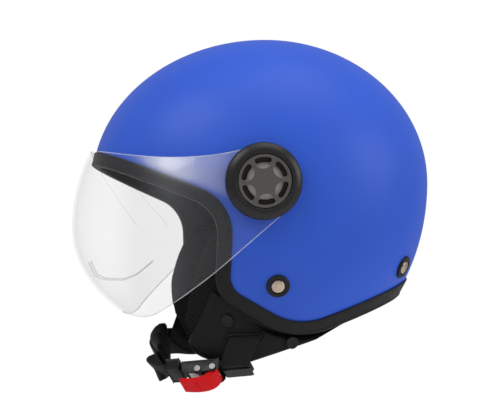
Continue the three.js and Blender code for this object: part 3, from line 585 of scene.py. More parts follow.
def turned(profile, steps=96):
    """A grid about +Z from [radius, height] points."""
    profile = np.array(profile, float)
    angle = np.linspace(0, 2 * math.pi, steps, endpoint=False)
    r, h = profile[:, 0], profile[:, 1]
    return np.stack([np.outer(np.cos(angle), r), np.outer(np.sin(angle), r), np.tile(h, (steps, 1))], -1)


def arc(centre, radius, start, end, steps=8):
    """Points on an arc, with angles in degrees."""
    angle = np.radians(np.linspace(start, end, steps))
    return [(centre[0] + radius * math.cos(a), centre[1] + radius * math.sin(a)) for a in angle]


def seat_on(egg, y, z, side=1, out=0.0):
    """Axes whose Z is the egg's outward normal at a side view point."""
    x = float(half_width(egg, y, z))
    s = float(share(egg, y, z))
    pull = s ** (egg["power"] - 2)
    deep = egg["front"] if y < egg["y"] else egg["rear"]
    tall = egg["base"] if z < egg["z"] else egg["crown"]
    normal = Vector((x ** (egg["power"] - 1) / egg["side"] ** egg["power"],
                     pull * (y - egg["y"]) / deep**2, pull * (z - egg["z"]) / tall**2))
    normal.normalize()
    place = Vector((x, y, z)) + normal * out
    if side < 0:
        normal.x, place.x = -normal.x, -place.x
    return Matrix.Translation(place) @ normal.to_track_quat("Z", "Y").to_matrix().to_4x4()


def pivot_seat(side):
    return Matrix.Rotation(math.pi / 2 * side, 4, "Y")


def seated(points, matrix):
    points = np.asarray(points, float)
    m = np.array(matrix)
    return points @ m[:3, :3].T + m[:3, 3]


# ---------------------------------------------------------------- shell and trim

SHELL_EDGE = TRIM_WIDTH - 1.8
TRIM_SECTION = [
    (0.0, 0.1), (0.0, 0.8), (0.35, 1.25), (1.0, 1.4), (4.0, 1.35), (8.0, 1.35), (8.7, 1.45), (9.3, 1.8),
    (10.0, 1.75), (10.5, 1.3), (10.75, 0.4), (10.8, -1.0), (10.8, -3.0), (10.5, -4.6), (9.8, -5.4),
    (8.6, -5.6), (5.0, -5.6), (4.1, -5.3), (3.9, -4.6), (8.9, -4.35), (8.9, 0.1),
]  # out from the paint edge, and up from the shell's skin


def outline_arc(egg, start, end, steps=220):
    """The egg's side view outline between two points on it, over the crown."""
    def angle(p):
        up = (p[1] - egg["z"]) / (egg["base"] if p[1] < egg["z"] else egg["crown"])
        along = (p[0] - egg["y"]) / (egg["front"] if p[0] < egg["y"] else egg["rear"])
        return math.atan2(up, along)
    a, b = angle(start), angle(end)
    sweep = np.linspace(a, b, steps)
    c, s = np.cos(sweep), np.sin(sweep)
    y = egg["y"] + c * np.where(c < 0, egg["front"], egg["rear"])
    z = egg["z"] + s * np.where(s < 0, egg["base"], egg["crown"])
    return np.stack([y, z], 1)


def shell():
    edge = edge_line(SHELL_EDGE)
    crown = outline_arc(EGG, edge[-1], edge[0])
    boundary = np.concatenate([edge, crown[1:-1]])
    boundary = np.concatenate([boundary, boundary[:1]])
    flat = fan(boundary, np.array([EGG["y"], EGG["z"]]), 60, 0.0)
    made = Build().grid(with_width(flat, half_width(EGG, flat[..., 0], flat[..., 1]))).mirrored()
    made = made.piece("shell_skin", "helmet", "shell_paint", PAINT)
    wall = made.modifiers.new("wall", "SOLIDIFY")
    wall.thickness = SHELL_WALL * MM
    wall.offset = -1
    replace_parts(made, "outer_shell")


def trim():
    lines = []
    for out, lift in TRIM_SECTION:
        flat = edge_line(out, lift)
        lines.append(with_width(flat, half_width(grown(EGG, lift), flat[:, 0], flat[:, 1])))
    grid = np.stack(lines, 1)
    made = Build().grid(grid, loop_columns=True).mirrored()
    made = made.piece("trim_channel", "helmet", "trim_rubber", RUBBER)
    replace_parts(made, "edge_trim")


shell()
trim()

# ---------------------------------------------------------------- foam liner and lining

CROWN_FLOOR = 24
NAPE_FLOOR = -61.5
LINING_DEPTH = 6.2
FOAM_STEP = 0.24
FOAM_REACH = 4.1  # steps from the rim to just short of the middle
CLOTH_FRAMES = 20
CLOTH_PRESSURE = 4


def egg_ray(egg, turn, rise):
    """The egg's surface in a direction: turn about Z from +X, rise above the level, in radians."""
    d = np.stack([np.cos(turn) * np.cos(rise), np.sin(turn) * np.cos(rise), np.sin(rise)], -1)
    flat = share(egg, d[..., 1] + egg["y"], d[..., 2] + egg["z"])
    p = egg["power"]
    size = ((np.abs(d[..., 0]) / egg["side"]) ** p + flat**p) ** (-1 / p)
    return d * size[..., None] + (0, egg["y"], egg["z"])


def rise_at(egg, turn, height):
    """The rise at which the egg's surface reaches a height, for each turn."""
    low = np.full_like(turn, -1.5)
    high = np.full_like(turn, 1.5)
    for _ in range(40):
        middle = (low + high) / 2
        above = egg_ray(egg, turn, middle)[..., 2] > height
        high = np.where(above, middle, high)
        low = np.where(above, low, middle)
    return (low + high) / 2


def rounded(s, rim):
    """0 at both ends of a 0 to 1 run, 1 between, with round shoulders."""
    end = np.clip(np.minimum(s, 1 - s) / rim, 0, 1)
    return np.sqrt(1 - (1 - end) ** 2)


def liner_edge_height(y):
    """Height of the liner's lower edge in side view."""
    line = edge_line(LINER_SHOWS)
    order = np.argsort(line[:, 0], kind="stable")
    return np.interp(y, line[order, 0], line[order, 1])


def puff(made, cap, voxel=3.0, held=None):
    """Pumps a pad up as cloth under pressure. No point moves further than the cap, nor towards `held`."""
    work = made.modifiers.new("remesh", "REMESH")
    work.mode = "VOXEL"
    work.voxel_size = voxel * MM
    even = made.modifiers.new("even", "SMOOTH")
    even.iterations = 6
    bake(made)
    start = positions(made.data)
    cloth = made.modifiers.new("cloth", "CLOTH")
    cloth.settings.use_pressure = True
    cloth.settings.uniform_pressure_force = CLOTH_PRESSURE
    cloth.settings.effector_weights.gravity = 0
    cloth.point_cache.frame_start = 1
    cloth.point_cache.frame_end = CLOTH_FRAMES
    for step in range(1, CLOTH_FRAMES + 1):
        scene.frame_set(step)
    bake(made)
    scene.frame_set(1)
    moved = positions(made.data) - start
    if held is not None:
        held = np.array(held, float)
        moved -= np.maximum(moved @ held, 0)[:, None] * held
    length = np.linalg.norm(moved, axis=1)[:, None]
    moved *= np.minimum(1, cap * MM / np.maximum(length, 1e-9))
    made.data.vertices.foreach_set("co", (start + moved).ravel())
    finer = made.modifiers.new("finer", "SUBSURF")
    finer.levels = finer.render_levels = 1
    bake(made)
    made.data.polygons.foreach_set("use_smooth", [True] * len(made.data.polygons))


def positions(mesh):
    flat = np.empty(3 * len(mesh.vertices))
    mesh.vertices.foreach_get("co", flat)
    return flat.reshape(-1, 3)


def bake(made):
    """Puts the modifiers' result in the mesh and takes them off."""
    material = made.data.materials[0]
    seen = made.evaluated_get(bpy.context.evaluated_depsgraph_get())
    mesh = bpy.data.meshes.new_from_object(seen)
    made.modifiers.clear()
    made.data = mesh
    mesh.materials.clear()
    mesh.materials.append(material)


def foam_rim():
    """The foam between the shell and the lining: its rim, then the cavity's wall up to the crown lining."""
    outer = grown(EGG, -SHELL_WALL - GAP)
    egg_in = CAVITY
    edge = edge_line(LINER_SHOWS, -SHELL_WALL - GAP)
    outside = with_width(edge, half_width(outer, edge[:, 0], edge[:, 1]))
    middle = np.array([0, EGG["y"], CROWN_FLOOR + 8])
    rings = []
    for depth in np.concatenate([np.linspace(0, 1, 10), np.linspace(1, FOAM_REACH, 50)[1:]]):
        egg = {k: outer[k] + (egg_in[k] - outer[k]) * min(depth, 1) for k in outer}
        line = middle + (outside - middle) * (1 - FOAM_STEP * depth)
        flat = line[:, 1:]
        inside = share(egg, flat[:, 0], flat[:, 1])
        scale = np.minimum(1.0, 0.9999 / np.maximum(inside, 1e-6))
        centre = np.array([egg["y"], egg["z"]])
        flat = centre + (flat - centre) * scale[:, None]
        rings.append(with_width(flat, half_width(egg, flat[:, 0], flat[:, 1])))
    made = Build().grid(np.stack(rings, 1)).mirrored()
    made = made.piece("foam_rim", "helmet", "liner_foam", FOAM)
    wall = made.modifiers.new("wall", "SOLIDIFY")
    wall.thickness = 1.5 * MM
    wall.offset = 0
    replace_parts(made, "foam_liner")


def lining_patch(name, node, turns, low, high, depth, slot, material, rim=(0.05, 0.1), loop=False, quilt=0.0):
    """A padded patch on the cavity wall, between two rises given for each turn."""
    turn = np.linspace(*turns, 160)
    v = np.linspace(0, 1, 60)
    rise = low(turn)[:, None] * (1 - v) + high(turn)[:, None] * v
    turn_grid = np.repeat(turn[:, None], len(v), 1)
    u = np.linspace(0, 1, len(turn))
    swell = rounded(v, rim[1])[None, :] * (1.0 if loop else rounded(u, rim[0])[:, None])
    if quilt:
        channel = np.abs(np.sin(turn_grid * 6)) ** 0.35
        swell = swell * (1 - quilt + quilt * channel)
    back = egg_ray(grown(CAVITY, -GAP), turn_grid, rise)
    front = egg_ray(grown(CAVITY, -GAP - depth), turn_grid, rise)
    face = back + (front - back) * (0.15 + 0.85 * swell[..., None])
    made = closed_between(face, back)
    made = made.piece(name, "helmet", slot, material)
    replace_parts(made, node)


def linings():
    wall = grown(CAVITY, -GAP)

    def at_height(height):
        return lambda turn: rise_at(wall, turn, height)

    def near_top(turn):
        return np.full_like(turn, math.pi / 2 - 0.02)

    def brow_floor(turn):
        rise = rise_at(wall, turn, 0.0)
        for _ in range(6):
            y = egg_ray(wall, turn, rise)[..., 1]
            rise = rise_at(wall, turn, liner_edge_height(y) + 7)
        return rise

    band_top = at_height(CROWN_FLOOR - GAP)
    common = (LINING_DEPTH, "lining_fabric", LINING)
    lining_patch("crown_cushion", "crown_lining", (0, 2 * math.pi), at_height(CROWN_FLOOR), near_top, *common,
                 (1, 0.12), True, 0.35)
    lining_patch("brow_cushion", "brow_lining", (math.pi * 1.215, math.pi * 1.785), brow_floor, band_top,
                 *common, (0.05, 0.2))
    lining_patch("nape_cushion", "nape_lining", (math.pi * 0.10, math.pi * 0.90), at_height(NAPE_FLOOR),
                 band_top, *common, (0.05, 0.1))


foam_rim()
linings()

# ---------------------------------------------------------------- cheek pads, flaps and neck roll


def bezier(a, b, c, steps=16):
    t = np.linspace(0, 1, steps)[:, None]
    a, b, c = (np.array(p, float) for p in (a, b, c))
    return (1 - t) ** 2 * a + 2 * t * (1 - t) * b + t**2 * c


def straight(a, b, steps=12):
    t = np.linspace(0, 1, steps)[:, None]
    return np.array(a, float) * (1 - t) + np.array(b, float) * t


def joined(*runs):
    return np.concatenate([runs[0], *(run[1:] for run in runs[1:])])


def keep_inside_trim(points, off):
    """Moves side pieces in where they pass behind the edge trim."""
    x, y, z = points[..., 0], points[..., 1], points[..., 2]
    wall = half_width(grown(EGG, -SHELL_WALL - 1.8 - off), y, z)
    lip = edge_line(TRIM_WIDTH + 2)
    low = np.interp(y, lip[len(lip) // 3:, 0], lip[len(lip) // 3:, 1])
    behind = 1 / (1 + np.exp((low - z) / 1.2))
    rear = 1 / (1 + np.exp(-(y + 12) / 3))
    share_in = behind * rear
    return np.stack([np.where(x > wall, x + (wall - x) * share_in, x), y, z], -1)


CHEEK_FRONT = {
    "left": ((-49.5, -82), (-60.5, -112), (-49.5, -132)),
    "right": ((-49.5, -82), (-51.5, -104), (-36, -130)),
}  # the strap pulls the right pad's lower front in


def cheek_pads():
    for side, sign in SIDES.items():
        cheek_pad(side, sign)


def cheek_pad(side, sign):
    first, middle, last = CHEEK_FRONT[side]
    outline = joined(
        straight((27, -41), (-29, -35)),
        bezier((-29, -35), (-44, -55), first),
        bezier(first, middle, last, 20),
        bezier(last, (last[0] + 9.5, -143), (-8, -142), 14),
        straight((-8, -142), (27, -131.5)),
        straight((27, -131.5), (27, -41), 16),
    )
    flat = fan(outline, np.array([-12.0, -92.0]), 34)
    t = np.linspace(0, 1, 34)[None, :]
    full = (1 - t**5) ** (1 / 3)
    outer = half_width(grown(PAD_EGG, -0.4), flat[..., 0], flat[..., 1])
    inner = 58.5 + 2.0 * t**2
    shaped = np.stack([outer, flat[..., 0], flat[..., 1]], -1)
    outer = keep_inside_trim(shaped, 3.2)[..., 0]
    middle = (outer + inner) / 2
    half = (outer - inner) / 2 * full
    made = Build()
    for face in (middle + half, middle - half):
        made.grid(with_width(flat, face) * (sign, 1, 1))
    made = made.piece(f"cheek_cushion_{side}", "helmet", "lining_fabric", MESH_FABRIC)
    puff(made, 1.4, 2.0, (sign, 0, 0))
    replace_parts(made, f"cheek_pad_{side}")


def flap_surface(u, v):
    """Side view points of the flap: u runs to the rear, v from under the trim to the hem."""
    top = joined(straight((-34, -86), (-14, -98), 20), straight((-14, -98), (34, -118), 30),
                 straight((34, -118), (88, -96), 30), straight((88, -96), (121, -83), 20))
    hem = joined(bezier((-50.5, -126), (-47, -143), (-8, -143.6), 36),
                 straight((-8, -143.6), (49, -124.6), 30), straight((49, -124.6), (121, -87), 34))

    def along(line, s):
        length = np.concatenate([[0], np.cumsum(np.linalg.norm(np.diff(line, axis=0), axis=1))])
        return np.stack([np.interp(s * length[-1], length, line[:, i]) for i in (0, 1)], -1)
    start, end = along(top, u), along(hem, u)
    return start[:, None, :] * (1 - v)[None, :, None] + end[:, None, :] * v[None, :, None]


FLAP_STUDS = {"front": (-22, -109), "rear": (29.5, -126.5)}


def ear_flaps():
    u, v = np.linspace(0, 1, 150), np.linspace(0, 1, 56)
    flat = flap_surface(u, v)
    egg = grown(PAD_EGG, GAP + FLAP_WALL)
    x = half_width(egg, flat[..., 0], flat[..., 1])
    hem = np.clip((v - 0.93) / 0.07, 0, 1)[None, :]
    front = np.clip(1 - u / 0.035, 0, 1)[:, None]
    x = x - 3.5 * (1 - np.sqrt(1 - hem**2 * 0.98)) - 2.0 * front**2
    # soft swells between the studs and a fold above the strap's slit
    fold = np.exp(-(((flat[..., 1] + 121) / 3.5) ** 2)) * np.exp(-(((flat[..., 0] + 8) / 16) ** 2))
    x = x + 1.3 * fold
    for y, z in FLAP_STUDS.values():
        x = x - 1.1 * np.exp(-(((flat[..., 0] - y) ** 2 + (flat[..., 1] - z) ** 2) / 60))
    outer = keep_inside_trim(np.stack([x, flat[..., 0], flat[..., 1]], -1), 0.4)
    inner = outer - (FLAP_WALL, 0, 0)
    for side, sign in SIDES.items():
        made = closed_between(outer * (sign, 1, 1), inner * (sign, 1, 1))
        made = made.piece(f"flap_{side}", "helmet", "leatherette", LEATHERETTE)
        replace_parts(made, f"ear_flap_{side}")


def on_flap(flat, out=0.0):
    """Points on the flap's outer face, from side view points."""
    flat = np.asarray(flat, float)
    egg = grown(PAD_EGG, GAP + FLAP_WALL)
    x = half_width(egg, flat[..., 0], flat[..., 1])
    return keep_inside_trim(np.stack([x, flat[..., 0], flat[..., 1]], -1), 0.4) + (out, 0, 0)


def stitches(name, line, side, pitch=3.4, length=2.3, thick=0.32, out=0.1):
    """Thread along a side view line on the flap."""
    line = np.asarray(line, float)
    run = np.concatenate([[0], np.cumsum(np.linalg.norm(np.diff(line, axis=0), axis=1))])
    made = Build()
    for start in np.arange(pitch / 2, run[-1] - length, pitch):
        s = start + length * np.linspace(0, 1, 7)
        flat = np.stack([np.interp(s, run, line[:, i]) for i in (0, 1)], -1)
        dip = (np.linspace(-1, 1, 7) ** 2) * thick * 1.6
        points = on_flap(flat, out)
        points[:, 0] -= dip
        made.grid(tube(points, thick, 8) * (SIDES[side], 1, 1), loop_columns=True, caps=True)
    made.piece(name, "helmet", "leatherette", THREAD)


SEAM = [(-31.5, -92), (-45.5, -124)]
HEM = [(-44, -133), (-36, -139), (-22, -141), (-8, -141.2), (20, -132.6), (49, -122.2), (76, -109),
       (100, -96.4)]
SLIT_MIDDLE, SLIT_HALF, SLIT_TILT = (-8.7, -121.4), 13.0, 0.02


def flap_sewing():
    """The seam behind the mesh strip, the hem and the strap's slit with its sewn lips."""
    turn = np.linspace(0, 2 * math.pi, 72, endpoint=False)
    c, s = np.cos(turn), np.sin(turn)
    reach = SLIT_HALF - 1.5
    for side, sign in SIDES.items():
        stitches(f"seam_thread_{side}", SEAM, side)
        stitches(f"hem_thread_{side}", HEM, side)
        for ring, grow, radius in (("lip", 0.0, 0.9), ("fold", 2.2, 0.45)):
            along = np.sign(c) * np.abs(c) ** 0.6 * (reach + grow + 1.5)
            up = np.sign(s) * np.abs(s) ** 0.8 * (2.0 + grow)
            y = SLIT_MIDDLE[0] + along - up * SLIT_TILT
            z = SLIT_MIDDLE[1] + up + along * SLIT_TILT
            points = on_flap(np.stack([y, z], 1), 1.0 if ring == "lip" else 0.4)
            points[:, 0] += 0.9 * np.exp(-(((z + 121) / 4) ** 2))
            made = Build().grid(tube(points, radius, 12, closed=True) * (sign, 1, 1), True, True)
            made.piece(f"slit_{ring}_{side}", "helmet", "leatherette", LEATHERETTE)
        y = SLIT_MIDDLE[0] + np.linspace(-reach - 1, reach + 1, 20)
        for row, z_off in (("upper", 4.6), ("lower", -4.2)):
            line = np.stack([y, SLIT_MIDDLE[1] + z_off + (y - SLIT_MIDDLE[0]) * SLIT_TILT], 1)
            stitches(f"slit_thread_{row}_{side}", line, side, 2.8, 1.9, 0.3, 0.9)


def neck_roll():
    """A padded leatherette roll along the nape."""
    wall = grown(CAVITY, -GAP)
    turn = np.linspace(math.pi * 0.16, math.pi * 0.84, 140)
    top = rise_at(wall, turn, -62.6)
    low = top.copy()
    for _ in range(6):
        y = egg_ray(wall, turn, low)[..., 1]
        line = edge_line(TRIM_WIDTH + 3)
        half = len(line) // 2
        low = rise_at(wall, turn, np.interp(y, line[half:, 0], line[half:, 1]))
    v = np.linspace(0, 1, 40)
    rise = low[:, None] * (1 - v) + top[:, None] * v
    grid_turn = np.repeat(turn[:, None], 40, 1)
    swell = rounded(v, 0.45)[None, :] * rounded(np.linspace(0, 1, 140), 0.08)[:, None]
    back = egg_ray(wall, grid_turn, rise)
    front = egg_ray(grown(CAVITY, -13.5), grid_turn, rise)
    face = back + (front - back) * (0.3 + 0.7 * swell[..., None])
    made = closed_between(face, back)
    made = made.piece("neck_cushion", "helmet", "leatherette", LEATHERETTE)
    puff(made, 1.5, 2.0)
    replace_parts(made, "neck_roll")


cheek_pads()
ear_flaps()
flap_sewing()
neck_roll()

# ---------------------------------------------------------------- rivets and studs

RIVETS = {"front": (14, -81.2), "rear": (121.6, -67.6)}


def rivets():
    collar = [(5.9, -2.5), (5.9, 0.9), *arc((6.7, 1.0), 0.8, 180, 90, 5), (7.6, 1.75),
              *arc((8.2, 0.9), 1.0, 70, 0, 6), (9.3, -2.5)]
    head = [(0.0, 2.7), (1.5, 2.65), (3.0, 2.45), (4.1, 2.1), *arc((4.4, 1.1), 0.95, 75, 0, 6), (5.45, 0.2),
            (5.2, -1.5), (0.0, -1.5)]
    for side, sign in SIDES.items():
        for place, (y, z) in RIVETS.items():
            seat = seat_on(EGG, y, z, sign)
            ring = Build().grid(seated(turned(collar), seat), loop_rows=True)
            ring = ring.piece(f"grommet_{place}_{side}", "helmet", "black_plastic", BLACK_PLASTIC)
            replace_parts(ring, f"rivet_ring_{place}_{side}")
            cap = Build().grid(seated(turned(head), seat), loop_rows=True)
            cap = cap.piece(f"rivet_head_{place}_{side}", "helmet", "rivet_steel", RIVET_STEEL)
            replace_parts(cap, f"strap_rivet_{place}_{side}")


def studs():
    cap = [(0.0, 1.25), (1.4, 1.2), (2.2, 1.05), (2.6, 1.3), (3.6, 1.5), *arc((4.2, 0.7), 0.85, 80, -20, 7),
           (4.4, -0.6), (0.0, -0.6)]
    egg = grown(PAD_EGG, GAP + FLAP_WALL)
    for side, sign in SIDES.items():
        for place, (y, z) in FLAP_STUDS.items():
            seat = seat_on(egg, y, z, sign, -0.5)
            made = Build().grid(seated(turned(cap, 64), seat), loop_rows=True)
            made = made.piece(f"snap_{place}_{side}", "helmet", "black_plastic", BLACK_PLASTIC)
            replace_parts(made, f"flap_stud_{place}_{side}")


rivets()
studs()

# ---------------------------------------------------------------- visor

EAR_RADIUS = 29
EAR_FACE = 121.3
VISOR_WALL = 2
CREASE = [(-126.6, -64.0), (-121.4, -74.6), (-117, -76.9), (-112.4, -77.3), (-103.2, -77.0), (-94.6, -72.8),
          (-84.0, -62.4)]  # a moulded line low on each side, drawn on the visor only as a painted line of shade


def visor_outline():
    top = bezier((0, EAR_RADIUS), (-66, 6), (-150, 32.5), 60)
    inside = share(VISOR_EGG, top[:, 0], top[:, 1]) < 1
    top = top[inside]
    edge_turn = math.atan2(0.653, 0.757)
    ear = np.array(arc((0, 0), EAR_RADIUS, 90, math.degrees(edge_turn) - 90, 50))[::-1]
    ear_end = ear[0]
    corner = (-74.5, -102.2)
    lower = joined(straight(ear_end, corner, 60), bezier(corner, (-86.5, -113.0), (-104, -98.5), 24))
    keep = share(VISOR_EGG, lower[:, 0], lower[:, 1]) < 1
    lower = lower[keep]
    chin = lower[-1]
    brow = top[-1]
    y, z, reach = VISOR_EGG["y"], VISOR_EGG["z"], VISOR_EGG["front"]
    start = math.atan2((chin[1] - z) / VISOR_EGG["base"], (chin[0] - y) / reach)
    end = math.atan2((brow[1] - z) / VISOR_EGG["crown"], (brow[0] - y) / reach)
    sweep = np.linspace(start, end - 2 * math.pi if end > start else end, 160)
    c, s = np.cos(sweep), np.sin(sweep)
    front = np.stack([y + c * reach, z + s * np.where(s < 0, VISOR_EGG["base"], VISOR_EGG["crown"])], 1)
    return joined(top[::-1], ear[::-1], lower, front)


def painted_crease_shade(place):
    """Mask of the painted shade line along the moulded crease: 1 on it, 0 away from it, fading towards its
    ends.
    """
    y, z = place[:, 1], place[:, 2]
    near = np.full(np.shape(y), 1e9)
    for a, b in zip(CREASE, CREASE[1:]):
        a, b = np.array(a), np.array(b)
        run = b - a
        t = np.clip(((y - a[0]) * run[0] + (z - a[1]) * run[1]) / (run @ run), 0, 1)
        near = np.minimum(near, np.hypot(y - a[0] - t * run[0], z - a[1] - t * run[1]))
    fade = np.clip((place[:, 0] + 20) / 60, 0.0, 1)
    return np.exp(-((near / 0.45) ** 2)) * fade


def painted_reflection_depth(place):
    """Painted reflection of a soft lamp: a pale patch below the brow edge, most of all towards the front."""
    y, z = place[:, 1], place[:, 2]
    lengthways = 0.9 * np.exp(-(((y + 74) / 17) ** 2)) + 0.35 * np.exp(-(((y + 40) / 30) ** 2))
    above = z - np.interp(y, [PAINT_EDGE[0][0], PAINT_EDGE[1][0]], [PAINT_EDGE[0][1], PAINT_EDGE[1][1]])
    return np.clip(lengthways, 0, 1) * (0.12 + 0.88 / (1 + np.exp(-(above - 1) / 1.5)))


def visor_width(flat):
    """Side view points on the visor: the bubble, flattened softly into an ear over the pivot."""
    wide = half_width(VISOR_EGG, flat[..., 0], flat[..., 1])
    soft = 1.6
    x = wide - soft * np.log1p(np.exp(np.clip((wide - EAR_FACE) / soft, -40, 40)))
    return with_width(flat, np.where(wide > 2, np.maximum(x, 0), wide))


def visor():
    boundary = visor_outline()
    made = Build().grid(visor_width(fan(boundary, np.array([-72.0, -36.0]), 110, 0.0))).mirrored()
    # the visor's two values mark the painted crease shade and the painted reflection
    made = made.piece("visor_bubble", "visor", "clear_visor", CLEAR, weld=0.05,
                      values={"crease": painted_crease_shade, "veil": painted_reflection_depth})
    wall = made.modifiers.new("wall", "SOLIDIFY")
    wall.thickness = VISOR_WALL * MM
    wall.offset = -1
    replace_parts(made, "visor")
    rim = visor_width(boundary)
    rim = rim[rim[:, 0] > 1]
    rim = Build().grid(tube(rim - (0.7, 0, 0), 0.42), loop_columns=True, caps=True).mirrored()
    rim.piece("visor_rim", "visor", "clear_visor", CLEAR_EDGE)


visor()

# ---------------------------------------------------------------- pivot covers and knobs

RING = dict(outer=30, inner=21.4, back=121.6, face=129.6)
KNOB = dict(radius=20.9, back=123.0, face=128.8, slot_inner=14.6, slot_outer=18.2, slot_half=0.37, slots=6)


def soft_step(value, width=0.35):
    """0 below, 1 above, over a short soft edge."""
    return 1 / (1 + np.exp(-np.clip(value / (width / 4), -40, 40)))


def knob_relief(r, angle):
    """Height of the knob's face, and how far a point is in a pocket and in a slot."""
    step = 2 * math.pi / KNOB["slots"]
    off = (angle - math.radians(95) + step / 2) % step - step / 2
    middle = (KNOB["slot_inner"] + KNOB["slot_outer"]) / 2
    past = np.maximum(np.abs(off) - KNOB["slot_half"] + 0.08, 0) * middle
    inside = (KNOB["slot_outer"] - KNOB["slot_inner"]) / 2 - np.hypot(r - middle, past)
    slot = soft_step(inside)
    to_middle = np.hypot(r * np.cos(off) - 17.2, r * np.sin(off))
    pocket = soft_step(7.4 - to_middle, 0.6) * soft_step(KNOB["slot_inner"] - 0.9 - r)
    slope = np.clip((r - 9.5) / 5, 0, 1)
    rim = soft_step(r - 19.0, 0.5)
    lip = np.exp(-(((inside + 0.35) / 0.35) ** 2))
    height = -3.2 * slot - (0.5 + 0.8 * slope) * pocket * (1 - slot) + 0.25 * rim + 0.12 * lip
    edge = np.clip((r - (KNOB["radius"] - 0.9)) / 0.9, 0, 1)
    return height - 0.9 * (1 - np.sqrt(1 - edge**2)), pocket * (1 - slot), slot


def pivots():
    ring = [(RING["inner"], RING["back"]), (RING["outer"], RING["back"]), (RING["outer"], 123.6),
            *arc((26.2, 123.8), 3.8, 0, 60, 12), (26.4, 128.4), (24.4, 129.3), (23.0, 129.4),
            *arc((22.3, 128.5), 0.9, 90, 180, 6), (RING["inner"], 126.0)]
    rim = KNOB["radius"]
    r = np.concatenate([np.linspace(0, 9, 10), np.linspace(9.3, 20.2, 74), np.linspace(20.3, rim, 10)])
    angle = np.linspace(0, 2 * math.pi, 480, endpoint=False)
    rr, aa = np.meshgrid(r, angle)
    height = knob_relief(rr, aa)[0]
    face = np.stack([rr * np.cos(aa), rr * np.sin(aa), KNOB["face"] + height], -1)
    skirt = np.stack([rim * np.cos(angle), rim * np.sin(angle), np.full_like(angle, KNOB["back"])], -1)
    face = np.concatenate([face, skirt[:, None, :]], 1)

    def part_at(which, sign):
        """One of the relief's masks at points of a knob on one side."""
        def mask(places):
            turn = np.arctan2(places[:, 2], sign * places[:, 1])
            return knob_relief(np.hypot(places[:, 1], places[:, 2]), turn)[which]
        return mask

    for side, sign in SIDES.items():
        # on the left, the face's own X then runs to the rear and its Y runs up
        seat = Matrix(((0, 0, sign, 0), (sign, 0, 0, 0), (0, 1, 0, 0), (0, 0, 0, 1)))
        cover = Build().grid(seated(turned(ring, 160), pivot_seat(sign)), loop_rows=True, loop_columns=True)
        cover = cover.piece(f"pivot_cover_{side}", "helmet", "black_plastic", COVER_PLASTIC)
        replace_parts(cover, f"cover_ring_{side}")
        knob = Build().grid(seated(face, seat), loop_rows=True)
        # the slot value carries the painted shade in the slots, and the pocket value the lighter pockets
        knob = knob.piece(f"knob_face_{side}", f"knob_{side}", "gunmetal_plastic", GUNMETAL,
                          values={"pocket": part_at(1, sign), "slot": part_at(2, sign)})
        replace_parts(knob, f"pivot_knob_{side}")


pivots()

# ---------------------------------------------------------------- straps and buckle

STRAP = dict(width=22, wall=1.8, inset=7.8)
JAW = PAD_EGG["side"]
CHIN_PAD = dict(width=34, wall=6, start=0.52, end=0.74)
BUCKLE_AT = Vector((66.514, -39, -146.5))
ALONG = Vector((0.35, 0.93, 0.1)).normalized()
OUT = Vector((0.4, -0.25, -0.88))
OUT = (OUT - ALONG * OUT.dot(ALONG)).normalized()
SIDEWAYS = OUT.cross(ALONG)
BUCKLE_AXES = Matrix.Translation(BUCKLE_AT) @ Matrix((ALONG, SIDEWAYS, OUT)).transposed().to_4x4()
HALF_LENGTH = 15
LADDER = dict(width=15, wall=2, tooth=1.2, pitch=3.2, inserted=21, outside=12)
LADDER_END = -HALF_LENGTH - LADDER["outside"]
CLAMP_FROM = HALF_LENGTH + GAP
CLAMP_END = CLAMP_FROM + STRAP["width"] + 2 * GAP
CLAMP_AT = (CLAMP_FROM + CLAMP_END) / 2
CLAMP_TOP = 1


def in_buckle(x, y, z):
    return tuple(BUCKLE_AXES @ Vector((x, y, z)))


def strap_inside(y, z, sign):
    return (sign * float(half_width(grown(EGG, -STRAP["inset"]), y, z)), y, z), (0, 1, 0)


def strap_routes():
    """Stations of both straps: a point and the direction across the band."""
    y, z = RIVETS["front"]
    slit = [((0.838 * JAW, 0, -112), (-0.1, 1, 0.1)), ((0.925 * JAW, -10, -126), (0.1, 0.95, 0.25))]
    on_ladder = -GAP - STRAP["wall"] / 2 + GAP
    in_clamp = 2 * GAP + STRAP["wall"] / 2
    right = [strap_inside(y + 1, z + 8, -1), strap_inside(y + 2, z - 8, -1)]
    right += [((-p[0], p[1], p[2]), (-d[0], d[1], d[2])) for p, d in slit]
    right += [
        ((-0.925 * JAW, -23, -132), (0.05, 0.7, 0.7)),
        ((-0.832 * JAW, -43, -131), (0, 0.3, 0.95)),
        ((-0.578 * JAW, -60, -132), (0, -0.15, 0.98)),
        ((-0.231 * JAW, -67, -139), (0, -0.45, 0.89)),
        ((0.162 * JAW, -66, -146), (0.1, -0.5, 0.86)),
    ]
    right += [(in_buckle(LADDER_END - 12, 0, on_ladder - 2), tuple(SIDEWAYS))]
    right += [(in_buckle(LADDER_END + past, 0, on_ladder), tuple(SIDEWAYS)) for past in (-2, 9)]
    left = [strap_inside(y + 1, z + 8, 1), strap_inside(y + 2, z - 8, 1), *slit]
    left += [(in_buckle(CLAMP_AT, CLAMP_TOP + up, in_clamp), (0.35, 0.93, 0.1)) for up in (3.5, -2, -11)]
    return {"left": left, "right": right}


